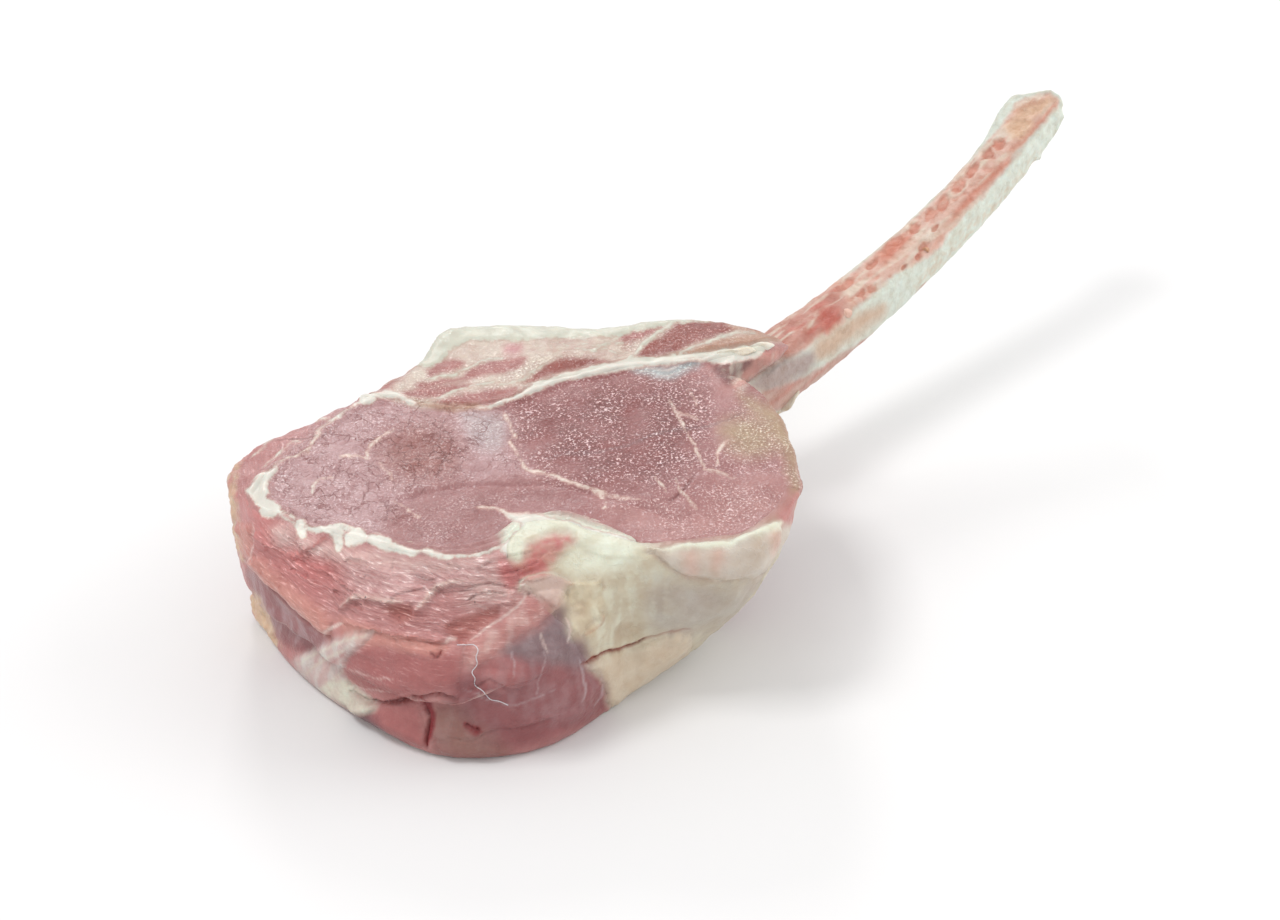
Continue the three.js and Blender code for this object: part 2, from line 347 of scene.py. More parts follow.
# %% Patches and strokes
def in_patch(spots, outline):
    """Pixels from each spot to a drawn outline, positive inside."""
    curve = rounded(outline, closed=True)
    gaps = np.full(len(spots), -FAR)
    near = ((spots > curve.min(0) - FAR) & (spots < curve.max(0) + FAR)).all(1)
    close = spots[near]
    within = np.zeros(len(close), bool)
    for (x0, y0), (x1, y1) in zip(curve, np.roll(curve, -1, 0)):
        if y0 != y1:
            crosses = (close[:, 1] < y0) != (close[:, 1] < y1)
            within ^= crosses & (close[:, 0] < x0 + (close[:, 1] - y0) * (x1 - x0) / (y1 - y0))
    away = np.abs(from_curve(close, np.vstack((curve, curve[:1])))[0])
    gaps[near] = np.where(within, away, -away)
    return gaps


def patch(spots, edge, outline):
    """1 inside a drawn outline and 0 outside, over an edge some pixels wide."""
    return soft(in_patch(spots, outline), -edge, edge)


def stroke(spots, width, edge, line):
    """1 along a drawn line of that width in pixels, 0 away from it, thinner at its ends."""
    gaps, middle = from_curve(spots, rounded(line))
    return 1 - soft(np.abs(gaps) - width / 2 * soft(middle, -0.2, 0.5), -edge, edge)


def fat_depth(spots, lines=(), patches=()):
    """How far inside the drawn fat each spot lies, in mm, negative outside. Lines are (width in mm, line)."""
    depth = np.full(len(spots), -FAR / PIXELS_PER_MM)
    for width, line in lines:
        gaps, middle = from_curve(spots, rounded(line))
        depth = np.maximum(depth, width / 2 * soft(middle, -0.5, 0.4) - np.abs(gaps) / PIXELS_PER_MM)
    for outline in patches:
        depth = np.maximum(depth, in_patch(spots, outline) / PIXELS_PER_MM)
    return depth


# %% Raised shapes
def flakes(spots, lines):
    """Relief in mm of torn flakes: (rise, fade in mm, edge). The raised side is above an edge drawn from left
    to right, and below one drawn from right to left. It fades away from the edge and towards its ends."""
    relief = np.zeros(len(spots))
    for rise, fade, line in lines:
        gaps, middle = from_curve(spots, rounded(line))
        gaps = gaps / PIXELS_PER_MM
        shape = np.where(gaps < 0, np.exp(gaps / fade), np.exp(-gaps / CLIFF))
        relief += rise * shape * soft(middle, 0.0, 0.35)
    return relief


def domes(spots, patches):
    """Relief in mm of rounded lobes: (rise, how far in mm the rise takes, outline)."""
    relief = np.zeros(len(spots))
    for rise, shoulder, outline in patches:
        share = np.clip(in_patch(spots, outline) / (shoulder * PIXELS_PER_MM), 0, 1)
        relief += rise * np.sqrt(share * (2 - share))
    return relief


# %% [markdown]
# ## Colour
# Colours are picked as the hex values a paint program shows and turned to the linear values that
# light obeys. Wide fields of colour are painted on the skin's points. The fine grain comes later,
# from the material's nodes.

# %% Paint
finished = []


def linear(colour):
    """The linear values of an sRGB hex colour."""
    shares = [int(colour[i:i + 2], 16) / 255 for i in (1, 3, 5)]
    return np.array([s / 12.92 if s <= 0.04045 else ((s + 0.055) / 1.055) ** 2.4 for s in shares])


def base_coat(piece, colour):
    """One colour for every point of a piece."""
    return np.tile(linear(colour), (len(piece.data.vertices), 1))


def paint(tint, weight, colour):
    """Lays a colour over the tint, fully where the weight is 1."""
    tint += weight[:, None] * (linear(colour) - tint)


def keep(piece, **fields):
    """Stores numbers on the skin's points under their names, for the material to read."""
    for name, values in fields.items():
        kind, slot = ("FLOAT", "value") if values.ndim == 1 else ("FLOAT_VECTOR", "vector")
        stored = piece.data.attributes.new(name, kind, "POINT")
        stored.data.foreach_set(slot, values.astype(np.float32).ravel())


def finish_piece(piece, material, slot, *nodes):
    """Gives a piece its material and its place in the frame."""
    piece.data.materials.append(material)
    finished.append(piece)
    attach(piece, "root")
    if nodes:
        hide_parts(*nodes)


# %% [markdown]
# ## Nodes
# A material is a small graph. One helper adds a node, sets it, links it and hands back its result, so
# that each graph below reads as a list of what happens to the colour and the height of the surface.
# A mix of colours takes its share at socket 0 and the two colours at 6 and 7, and gives the mix at 2.

# %% Node helper
PER_MM = 1 / MM
GRAINY = 0.62


def add(tree, kind, inputs=None, gives=0, **settings):
    """Adds a shader node and returns one output; `inputs` maps a socket to a value or another output."""
    node = tree.nodes.new("ShaderNode" + kind)
    for setting, value in settings.items():
        setattr(node, setting, value)
    for socket, value in (inputs or {}).items():
        if isinstance(value, bpy.types.NodeSocket):
            tree.links.new(value, node.inputs[socket])
        else:
            node.inputs[socket].default_value = value
    return node.outputs[gives]


# %% [markdown]
# ## Lean
# Raw lean is wet protein fibre. Cut across, the fibre ends show as fine pale dots, painted here with
# glints on them, and a skin that has dried shows thin dark cracks. Torn along, it shows strands, whose
# tops are painted with glints too. Light goes a few millimetres into it and comes back redder, which the
# subsurface setting does, and the moisture is a thin clear coat. Each of these is drawn everywhere, and
# a number stored on the skin says how strong it is there.

# %% Lean material
DEEPER, PALER = (0.66, 0.44, 0.45), (1.55, 1.95, 1.95)
CRACK_DEEP, GLINT_LIFT, ROSY = (0.50, 0.26, 0.25), (0.50, 0.50, 0.50), (0.80, 0.58, 0.56)


def raw_lean(name):
    """Moist raw beef: pale fibre ends and strands with painted glints, dark cracks and fat, each as strong as
    the skin says.
    """
    material = bpy.data.materials.new(name)
    material.use_nodes = True
    tree = material.node_tree
    wet = tree.nodes["Principled BSDF"]
    where = add(tree, "TexCoord", gives="Object")
    tint, fat_tint, grain = [add(tree, "Attribute", gives="Vector", attribute_name=field)
                             for field in ("tint", "fat_tint", "grain")]
    fat, dots, cracks, strands = [add(tree, "Attribute", gives="Fac", attribute_name=field)
                                  for field in ("fat", "dots", "cracks", "strands")]

    # Blotches of deeper and paler meat, some 5 mm wide
    blotch = add(tree, "TexNoise", {"Vector": where, "Scale": PER_MM / 5, "Detail": 6, "Roughness": GRAINY})
    deeper = add(tree, "VectorMath", {0: tint, 1: DEEPER}, operation="MULTIPLY")
    paler = add(tree, "VectorMath", {0: tint, 1: PALER}, operation="MULTIPLY")
    share = add(tree, "MapRange", {"Value": blotch, "From Min": 0.32, "From Max": 0.68})
    mottled = add(tree, "Mix", {0: share, 6: deeper, 7: paler}, 2, data_type="RGBA")
    colour = add(tree, "Mix", {0: 0.24, 6: tint, 7: mottled}, 2, data_type="RGBA")

    # Fibre ends: pale specks with painted glints, and dark pits, drawn about twice as coarse as they are so
    # that they show
    fine = add(tree, "TexNoise", {"Vector": where, "Scale": PER_MM / 0.68, "Detail": 2, "Roughness": GRAINY})
    crowd = add(tree, "TexNoise", {"Vector": where, "Scale": PER_MM / 5, "Detail": 2, "Roughness": GRAINY})
    crowd = add(tree, "MapRange", {"Value": crowd, "From Min": 0.2, "From Max": 0.45})
    dot = add(tree, "MapRange", {"Value": fine, "From Min": 0.56, "From Max": 0.64})
    dot = add(tree, "Math", {0: dot, 1: crowd}, operation="MULTIPLY")
    dot = add(tree, "Math", {0: dot, 1: dots}, operation="MULTIPLY")
    pit = add(tree, "MapRange", {"Value": fine, "From Min": 0.50, "From Max": 0.36})
    pit = add(tree, "Math", {0: pit, 1: dots}, operation="MULTIPLY")

    # Cracks of the dried skin, open in places, between islands some 3 mm wide
    bend = add(tree, "TexNoise", {"Vector": where, "Scale": PER_MM / 4.5, "Detail": 3, "Roughness": GRAINY},
               "Color")
    bend = add(tree, "VectorMath", {0: bend, "Scale": 5 * MM}, operation="SCALE")
    bent = add(tree, "VectorMath", {0: where, 1: bend}, operation="ADD")
    gap = add(tree, "TexVoronoi", {"Vector": bent, "Scale": PER_MM / 3.4}, "Distance",
              feature="DISTANCE_TO_EDGE")
    gap = add(tree, "MapRange", {"Value": gap, "From Min": 0.075, "From Max": 0.02})
    parted = add(tree, "TexNoise", {"Vector": where, "Scale": PER_MM / 6, "Detail": 2, "Roughness": GRAINY})
    parted = add(tree, "MapRange", {"Value": parted, "From Min": 0.39, "From Max": 0.55})
    crack = add(tree, "Math", {0: gap, 1: parted}, operation="MULTIPLY")
    crack = add(tree, "Math", {0: crack, 1: cracks}, operation="MULTIPLY")

    # Strands of torn fibre 0.7 mm wide, pale with painted glints on top and deep between
    fibre = add(tree, "TexNoise", {"Vector": grain, "Scale": PER_MM / 0.7, "Detail": 4, "Roughness": 0.6,
                                   "Distortion": 0.3})
    share = add(tree, "MapRange", {"Value": fibre, "From Min": 0.34, "From Max": 0.66})
    combed = add(tree, "Mix", {0: share, 6: deeper, 7: paler}, 2, data_type="RGBA")
    ridge = add(tree, "MapRange", {"Value": fibre, "From Min": 0.58, "From Max": 0.7})
    ridge = add(tree, "Math", {0: ridge, 1: strands}, operation="MULTIPLY")

    # These lie one over the other, each as strong as its share says
    # The paler tint lifted toward white is a painted glint, laid on the fibre ends and on the strand tops
    pale_glint = add(tree, "VectorMath", {0: paler, 1: GLINT_LIFT})
    crack_red = add(tree, "VectorMath", {0: tint, 1: CRACK_DEEP}, operation="MULTIPLY")
    for layer, strength, over in ((strands, 0.4, combed), (pit, 0.7, crack_red), (crack, 0.72, crack_red),
                                  (dot, 1.0, pale_glint), (ridge, 0.55, pale_glint)):
        share = add(tree, "Math", {0: layer, 1: strength}, operation="MULTIPLY")
        colour = add(tree, "Mix", {0: share, 6: colour, 7: over}, 2, data_type="RGBA")

    # Fat, with a frayed rosy edge
    frayed = add(tree, "TexNoise", {"Vector": where, "Scale": PER_MM / 1.6, "Detail": 4, "Roughness": GRAINY})
    frayed = add(tree, "Math", {0: frayed, 1: 1.5, 2: fat}, operation="MULTIPLY_ADD")
    rosy = add(tree, "VectorMath", {0: fat_tint, 1: ROSY}, operation="MULTIPLY")
    share = add(tree, "MapRange", {"Value": frayed, "From Min": 0.7, "From Max": 1.3})
    pale_fat = add(tree, "Mix", {0: share, 6: rosy, 7: fat_tint}, 2, data_type="RGBA")
    share = add(tree, "MapRange", {"Value": frayed, "From Min": 0.35, "From Max": 0.95})
    colour = add(tree, "Mix", {0: share, 6: colour, 7: pale_fat}, 2, data_type="RGBA")

    # Height: fine grain, specks and strands up, cracks down, and all of it lower on fat
    specks = add(tree, "Math", {0: fine, 1: dots}, operation="MULTIPLY")
    combs = add(tree, "Math", {0: fibre, 1: strands}, operation="MULTIPLY")
    height = add(tree, "TexNoise", {"Vector": where, "Scale": PER_MM / 1.2, "Detail": 4, "Roughness": GRAINY})
    for layer, rise in ((specks, 1.6), (crack, -0.3), (combs, 2.0)):
        height = add(tree, "Math", {0: layer, 1: rise, 2: height}, operation="MULTIPLY_ADD")
    lean_only = add(tree, "MapRange", {"Value": fat, "From Min": 0.4, "From Max": -0.4, "To Min": 0.35})
    height = add(tree, "Math", {0: height, 1: lean_only}, operation="MULTIPLY")
    bump = add(tree, "Bump", {"Height": height, "Strength": 1.0, "Distance": 0.42 * MM})

    # The film of moisture lies smoother than the meat below it
    moist = add(tree, "TexNoise", {"Vector": where, "Scale": PER_MM / 1.5, "Detail": 1, "Roughness": GRAINY})
    for layer, rise in ((specks, 0.8), (combs, 1.2)):
        moist = add(tree, "Math", {0: layer, 1: rise, 2: moist}, operation="MULTIPLY_ADD")
    moist_bump = add(tree, "Bump", {"Height": moist, "Strength": 1.0, "Distance": 0.62 * MM})
    coat = add(tree, "MapRange", {"Value": dots, "To Min": 0.3, "To Max": 0.65})
    roughness = add(tree, "MapRange", {"Value": blotch, "From Min": 0.3, "From Max": 0.7,
                                       "To Min": 0.3, "To Max": 0.5})

    for socket, result in (("Base Color", colour), ("Roughness", roughness), ("Normal", bump),
                           ("Coat Normal", moist_bump), ("Coat Weight", coat)):
        tree.links.new(result, wet.inputs[socket])
    wet.inputs["IOR"].default_value = 1.4
    wet.inputs["Subsurface Weight"].default_value = 0.16
    wet.inputs["Subsurface Radius"].default_value = (1.0, 0.35, 0.25)
    wet.inputs["Subsurface Scale"].default_value = 1.5 * MM
    wet.inputs["Coat Roughness"].default_value = 0.16
    wet.inputs["Coat IOR"].default_value = 1.4
    return material


# %% [markdown]
# ## Fat and bone
# Beef fat is a pale wax, smooth where it was a skin and crumbly where it was pulled. It scatters
# light far inside, so its shadows stay light and warm. Low lumps and faint threads of tissue break
# the surface up. Sawn bone is drier and scatters less, but is built the same way.

# %% Fat material
WARMER, LIGHTER = (0.90, 0.82, 0.76), (1.08, 1.10, 1.12)


def raw_fat(name, lump, sheen, depth):
    """Cold fat or bone with lumps of `lump` mm, a roughness of `sheen`, and light that goes `depth` mm in."""
    material = bpy.data.materials.new(name)
    material.use_nodes = True
    tree = material.node_tree
    wax = tree.nodes["Principled BSDF"]
    where = add(tree, "TexCoord", gives="Object")
    tint = add(tree, "Attribute", gives="Vector", attribute_name="tint")

    # Warm and light lumps
    blotch = add(tree, "TexNoise", {"Vector": where, "Scale": PER_MM / lump, "Detail": 6,
                                    "Roughness": GRAINY})
    warmer = add(tree, "VectorMath", {0: tint, 1: WARMER}, operation="MULTIPLY")
    lighter = add(tree, "VectorMath", {0: tint, 1: LIGHTER}, operation="MULTIPLY")
    share = add(tree, "MapRange", {"Value": blotch, "From Min": 0.3, "From Max": 0.7})
    colour = add(tree, "Mix", {0: share, 6: warmer, 7: lighter}, 2, data_type="RGBA")

    # Threads of tissue, where a wider noise passes through its middle
    tissue = add(tree, "TexNoise", {"Vector": where, "Scale": PER_MM / (1.4 * lump), "Detail": 5,
                                    "Roughness": GRAINY})
    off = add(tree, "Math", {0: tissue, 1: 0.5}, operation="SUBTRACT")
    off = add(tree, "Math", {0: off}, operation="ABSOLUTE")
    line = add(tree, "MapRange", {"Value": off, "From Min": 0.02, "From Max": 0.0})
    share = add(tree, "Math", {0: line, 1: 0.35}, operation="MULTIPLY")
    colour = add(tree, "Mix", {0: share, 6: colour, 7: lighter}, 2, data_type="RGBA")

    # Height: crumbs a quarter as wide as the lumps, and the threads
    crumbs = add(tree, "TexNoise", {"Vector": where, "Scale": 4 * PER_MM / lump, "Detail": 4,
                                    "Roughness": GRAINY})
    height = add(tree, "Math", {0: line, 1: 0.25, 2: crumbs}, operation="MULTIPLY_ADD")
    bump = add(tree, "Bump", {"Height": height, "Strength": 0.8, "Distance": 0.35 * MM})
    roughness = add(tree, "MapRange", {"Value": blotch, "From Min": 0.3, "From Max": 0.7,
                                       "To Min": sheen - 0.1, "To Max": sheen + 0.08})

    for socket, result in (("Base Color", colour), ("Roughness", roughness), ("Normal", bump)):
        tree.links.new(result, wax.inputs[socket])
    wax.inputs["IOR"].default_value = 1.45
    wax.inputs["Subsurface Weight"].default_value = 0.3
    wax.inputs["Subsurface Radius"].default_value = (1.0, 0.8, 0.6)
    wax.inputs["Subsurface Scale"].default_value = depth * MM
    return material


# %% [markdown]
# ## Drawing the fat
# The seams break the cut face unevenly: a thin line here, a thick chunk there, and lumps where the
# knife let the pressure off. The shapes are drawn once and used on every piece that they cross, so
# that the fat runs on from one piece to the next. Lines are given with their width in millimetres.

# %% Drawn fat
FAT_PATCHES = [
    [(276, 467), (263, 475), (252, 484), (246, 491), (252, 498), (261, 500), (268, 494), (266, 487),
     (272, 478), (277, 472)],
    [(259, 505), (268, 499), (276, 501), (281, 508), (278, 516), (270, 518), (262, 516)],
    [(294, 522), (298, 518), (304, 519), (307, 530), (309, 537), (302, 539), (297, 532)],
    [(310, 531), (321, 528), (331, 527), (342, 527), (344, 538), (341, 552), (336, 549), (333, 540),
     (325, 534)],
    [(345, 534), (357, 528), (366, 535), (369, 541), (358, 545), (348, 546)],
    [(366, 538), (379, 534), (392, 541), (405, 548), (418, 552), (413, 557), (396, 553), (379, 550)],
    [(420, 552), (428, 548), (439, 553), (456, 557), (450, 561), (434, 558)],
    [(494, 507), (508, 511), (534, 514), (552, 517), (578, 524), (602, 532), (628, 539), (657, 548),
     (640, 556), (612, 558), (588, 552), (574, 541), (574, 534), (558, 531), (542, 535), (531, 543),
     (524, 556), (517, 562), (507, 556), (500, 549), (510, 540), (521, 527), (510, 520)],
    [(358, 397), (368, 394), (378, 397), (372, 402), (362, 404)],
    [(360, 395), (377, 392), (391, 390), (402, 394), (411, 400), (417, 404), (409, 409), (397, 399),
     (377, 399)],
    [(475, 408), (492, 404), (500, 399), (517, 394), (540, 381), (562, 373), (585, 368), (618, 361),
     (655, 356), (691, 354), (725, 349), (753, 344), (768, 342), (762, 353), (748, 361), (725, 364),
     (697, 361), (669, 364), (641, 368), (613, 373), (585, 377), (557, 384), (534, 394), (512, 401),
     (489, 409)],
    [(414, 360), (426, 338), (440, 322), (458, 314), (480, 312), (520, 314), (560, 316), (598, 318),
     (628, 313), (655, 308), (688, 304), (712, 310), (712, 320), (690, 322), (660, 328), (632, 335),
     (600, 339), (560, 339), (520, 341), (490, 341), (466, 345), (448, 354), (430, 368)],
]
FAT_LINES = [
    (3.4, [(270, 474), (257, 486), (258, 497), (267, 507), (275, 511)]),
    (1.5, [(300, 523), (312, 530), (326, 529), (342, 528), (356, 531), (368, 539), (382, 541), (398, 547),
           (415, 552)]),
    (1.1, [(415, 552), (430, 552), (448, 557), (470, 557), (488, 552), (504, 545)]),
    (0.8, [(276, 512), (286, 514), (296, 520)]),
    (0.6, [(364, 400), (346, 410), (332, 420), (319, 431), (313, 440), (307, 449)]),
    (0.5, [(311, 447), (298, 454), (283, 460), (272, 470)]),
    (0.7, [(440, 556), (456, 558), (471, 556), (490, 551), (503, 545)]),
    (0.8, [(478, 509), (492, 508), (504, 510)]),
    (0.6, [(278, 514), (288, 520), (298, 524)]),
    (0.4, [(330, 418), (300, 425), (270, 442), (250, 458)]),
    (0.4, [(262, 468), (282, 450), (300, 441)]),
]
STRIP_FAT = [
    (0.8, [(420, 380), (451, 375), (468, 367), (480, 362), (503, 358)]),
    (0.7, [(434, 400), (454, 391), (477, 385), (509, 383), (523, 380), (533, 372), (545, 364), (560, 357),
           (574, 355)]),
    (1.3, [(628, 360), (643, 345), (657, 334), (678, 319)]),
    (0.9, [(667, 357), (694, 348), (723, 337), (738, 332), (755, 333)]),
    (1.0, [(588, 354), (604, 346), (616, 338), (626, 333)]),
    (0.7, [(548, 344), (560, 350), (574, 348), (588, 352), (602, 350), (618, 354), (632, 352)]),
    (0.6, [(556, 338), (566, 346), (580, 345), (594, 347), (610, 344), (622, 342)]),
]
EYE_VEINS = [
    (0.7, [(503, 413), (509, 424), (517, 437)]),
    (0.7, [(510, 441), (518, 454), (523, 465), (530, 471)]),
    (0.6, [(526, 470), (545, 474), (563, 480), (585, 486), (612, 495), (640, 500)]),
    (0.6, [(670, 400), (676, 413), (684, 428), (692, 441), (697, 455), (706, 471)]),
    (0.4, [(677, 412), (688, 414), (698, 418)]),
    (0.4, [(703, 470), (718, 472), (734, 478)]),
    (0.6, [(728, 441), (721, 448), (718, 456), (716, 466)]),
    (0.7, [(394, 430), (379, 438), (369, 444), (367, 456)]),
    (0.4, [(340, 458), (352, 457), (368, 458)]),
    (0.8, [(321, 432), (312, 441), (307, 453)]),
    (0.5, [(334, 477), (320, 479), (314, 485), (313, 494)]),
    (0.4, [(653, 476), (660, 484), (666, 491)]),
    (0.4, [(676, 478), (680, 490), (686, 497), (696, 508)]),
    (0.4, [(390, 500), (402, 504), (410, 513), (420, 518)]),
    (0.4, [(598, 492), (606, 500), (604, 508)]),
    (0.5, [(378, 463), (384, 470), (392, 478)]),
    (0.4, [(688, 390), (693, 397), (697, 405)]),
]
RED_PATCH = [(519, 572), (523, 562), (527, 549), (534, 542), (545, 537), (558, 534), (571, 536),
             (574, 541), (567, 547), (560, 553), (552, 566), (546, 573), (532, 578)]
NO_FAT = -9.0
print(len(FAT_PATCHES), "patches and", len(FAT_LINES + STRIP_FAT + EYE_VEINS), "lines of fat drawn")


def drawn_fat(spots):
    """How far inside the drawn fat each spot lies, in mm."""
    depth = fat_depth(spots, FAT_LINES + STRIP_FAT + EYE_VEINS, FAT_PATCHES)
    return np.minimum(depth, -in_patch(spots, RED_PATCH) / PIXELS_PER_MM)


# %% [markdown]
# ## Drawing the muscle
# The same goes for the meat's own folds. A flake is a step: the meat on one side of its edge is
# raised and thins out away from it. A dome is a lobe that bulges. A crease is pressed in. Zones say
# where the skin has dried and cracked, where the fibre ends show, and where the meat was torn along.

# %% Drawn relief
LIP = [(252, 558), (262, 556), (284, 577), (306, 595), (328, 611), (334, 622), (328, 634), (312, 622),
       (293, 604), (271, 584), (254, 568)]
FOLD = [(466, 646), (478, 635), (490, 627), (500, 621), (511, 614), (519, 606), (525, 598), (540, 592),
        (556, 590), (566, 596), (562, 606), (548, 618), (530, 630), (508, 645), (488, 658), (470, 668)]
TONGUE = [(517, 587), (522, 581), (530, 576), (542, 574), (554, 575), (562, 578), (572, 583), (568, 590),
          (560, 598), (553, 607), (545, 600), (534, 595), (524, 593)]
BLOCK = [(340, 642), (360, 634), (390, 634), (420, 641), (450, 645), (462, 652), (458, 684), (457, 699),
         (436, 693), (412, 697), (384, 700), (362, 690), (346, 672)]
FILM = [(292, 662), (312, 650), (332, 641), (356, 632), (374, 632), (360, 646), (346, 664), (352, 682),
        (366, 692), (379, 704), (376, 709), (356, 709), (334, 702), (312, 686)]
ROLL = [(650, 549), (676, 547), (697, 544), (715, 542), (728, 543), (741, 536), (758, 529), (777, 523),
        (779, 535), (776, 549), (771, 562), (763, 573), (745, 577), (719, 578), (697, 577), (682, 574),
        (669, 565), (658, 555)]
WEDGE = [(446, 630), (452, 622), (466, 616), (482, 611), (500, 609), (498, 617), (482, 629), (470, 639),
         (460, 645)]
LOW_LOBE = [(350, 706), (384, 704), (412, 702), (421, 712), (424, 728), (424, 746), (398, 742), (366, 726)]
LOW_CREAM = [(588, 666), (606, 656), (630, 650), (655, 640), (690, 634), (684, 660), (650, 690),
             (612, 708), (604, 684)]
EYE_LEFT = [(268, 480), (300, 442), (352, 404), (392, 402), (440, 406), (505, 412), (508, 445),
            (528, 470), (470, 482), (420, 494), (395, 530), (345, 532), (290, 520)]
TORN = [(250, 530), (290, 528), (345, 548), (420, 562), (500, 552), (528, 545), (560, 536), (570, 546),
        (540, 575), (518, 592), (510, 610), (470, 638), (440, 642), (400, 634), (340, 612), (284, 580)]
CRUMBLY = [(560, 598), (572, 584), (590, 580), (606, 584), (602, 612), (590, 634), (578, 640), (568, 630),
           (566, 610)]

# %% Flakes, domes and creases
FLAKES = [
    (2.0, 3.0, [(340, 611), (346, 606), (356, 598), (370, 597), (388, 600), (406, 601), (426, 601)]),
    (1.8, 3.0, [(412, 618), (426, 602), (434, 594), (439, 588), (450, 584), (458, 584), (476, 583)]),
    (2.0, 4.0, [(340, 618), (362, 626), (384, 631), (402, 634), (420, 637), (438, 640), (452, 642)]),
    (1.2, 2.5, [(300, 552), (312, 546), (324, 539), (332, 533)]),
    (0.9, 2.0, [(262, 540), (280, 548), (300, 556), (325, 560)]),
    (1.0, 2.0, [(470, 600), (485, 606), (505, 604), (516, 600)]),
    (0.8, 1.5, [(380, 572), (391, 580), (394, 572), (390, 562)]),
    (1.2, 2.5, [(604, 583), (590, 583), (575, 584), (565, 586)]),
    (1.0, 2.0, [(602, 612), (600, 622), (590, 630), (582, 636)]),
    (1.2, 2.0, [(257, 528), (258, 540), (256, 549), (250, 562)]),
]
DOMES = [
    (1.8, 3.0, LIP), (2.0, 6.0, FOLD), (1.6, 2.0, TONGUE), (1.6, 7.0, BLOCK), (0.9, 1.5, FILM),
    (1.8, 4.0, ROLL), (-1.2, 2.0, WEDGE), (1.4, 4.0, LOW_LOBE), (1.2, 4.0, LOW_CREAM),
    (1.2, 3.0, [(340, 710), (358, 704), (378, 700), (380, 708), (362, 716), (346, 716)]),
    (1.0, 3.0, [(434, 716), (452, 708), (470, 716), (484, 738), (500, 752), (466, 760), (440, 750)]),
    (0.8, 2.0, [(234, 526), (250, 525), (257, 540), (253, 556), (244, 558), (236, 545)]),
    (0.4, 2.0, [(274, 527), (285, 524), (294, 530), (294, 541), (282, 545), (274, 538)]),
    (-1.0, 3.0, [(388, 606), (402, 604), (416, 606), (412, 622), (398, 622)]),
    (0.8, 1.5, [(395, 634), (412, 632), (430, 640), (440, 650), (430, 658), (412, 652)]),
]
CREASES = [
    (0.8, 8, [(395, 500), (420, 493), (450, 488), (500, 485), (560, 486), (620, 500), (680, 520)]),
    (0.9, 3, [(695, 474), (688, 484), (680, 493), (670, 503)]),
    (1.8, 5, [(420, 702), (427, 714), (428, 724), (426, 736), (427, 748)]),
    (1.6, 4, [(466, 722), (472, 727), (480, 730)]),
    (1.2, 3, [(582, 665), (595, 658), (606, 652), (619, 650), (632, 645), (645, 639)]),
    (0.5, 4, [(632, 645), (645, 639), (660, 635), (690, 630)]),
    (0.5, 10, [(646, 549), (660, 560), (670, 568), (684, 577), (698, 580), (720, 581), (746, 580),
               (766, 574)]),
    (1.6, 5, [(352, 690), (372, 700), (396, 701), (420, 697), (440, 694), (457, 700)]),
    (0.8, 4, [(472, 690), (490, 680), (510, 690), (528, 684)]),
    (0.7, 4, [(448, 736), (470, 738), (500, 730), (530, 728), (560, 716)]),
    (1.0, 3, [(434, 652), (438, 656), (442, 650)]),
    (1.2, 3, [(252, 566), (272, 588), (296, 610), (316, 627), (332, 637)]),
    (0.6, 2, [(436, 402), (450, 405), (466, 407)]),
]

# %% Zones
ZONES = {
    "dried": [(1.0, 22, EYE_LEFT),
              (0.3, 20, [(400, 500), (470, 488), (560, 486), (600, 505), (500, 508), (500, 535),
                         (420, 545)])],
    "torn": [(1.0, 20, TORN)],
    "dots": [(1.0, 30, [(515, 405), (600, 380), (690, 375), (720, 400), (700, 470), (640, 490),
                        (545, 475)]),
             (0.5, 20, [(690, 380), (760, 400), (800, 450), (800, 500), (700, 540), (600, 500),
                        (690, 470)]),
             (0.3, 15, EYE_LEFT), (0.35, 15, [(400, 500), (560, 490), (600, 505), (500, 505), (440, 550)]),
             (0.4, 10, [(395, 395), (430, 370), (520, 355), (600, 360), (520, 385), (440, 405)]),
             (0.4, 10, [(615, 345), (650, 325), (700, 318), (760, 330), (700, 350), (640, 360)])],
    "crumbly": [(1.0, 6, CRUMBLY)],
    "front": [(1.0, 12, [(345, 640), (462, 652), (505, 650), (575, 625), (600, 690), (560, 740), (470, 758),
                         (360, 720)])],
    "strands": [(1.0, 20, TORN), (0.5, 8, LIP), (0.4, 8, FOLD), (0.25, 10, BLOCK),
                (0.6, 8, [(236, 480), (252, 460), (330, 415), (352, 405), (310, 440), (270, 464),
                          (240, 500)])],
}
GROOVE = 0.45


def drawn_relief(points, spots, zone, grain):
    """All the drawn and grown unevenness of the skin, in mm."""
    relief = 0.6 * swell(points, 11, 11) + 0.25 * swell(points, 4, 12)
    relief += zone["dried"] * (0.35 * swell(points * (1.2, 0.9, 1), 4.5, 13)
                               - 0.35 * wrinkles(points * (1.5, 0.8, 1), 9, 0.1, 14))
    relief += zone["torn"] * (0.9 * shingles(grain * (1.6, 1, 1), 7, 2.5, 16) + 0.5 * swell(grain, 1.7, 17))
    relief += zone["front"] * (0.8 * swell(grain * (1.5, 1, 1), 6, 33) + 0.35 * swell(grain, 2.5, 34))
    relief += zone["crumbly"] * (0.5 * swell(points, 3.5, 31) + 0.5 * swell(points, 1.8, 32))
    relief += flakes(spots, FLAKES) + domes(spots, DOMES)
    for depth, width, line in CREASES:
        relief -= depth * stroke(spots, width * GROOVE, width * GROOVE, line)
    return relief


print(len(FLAKES), "flakes,", len(DOMES), "domes and", len(CREASES), "creases drawn")
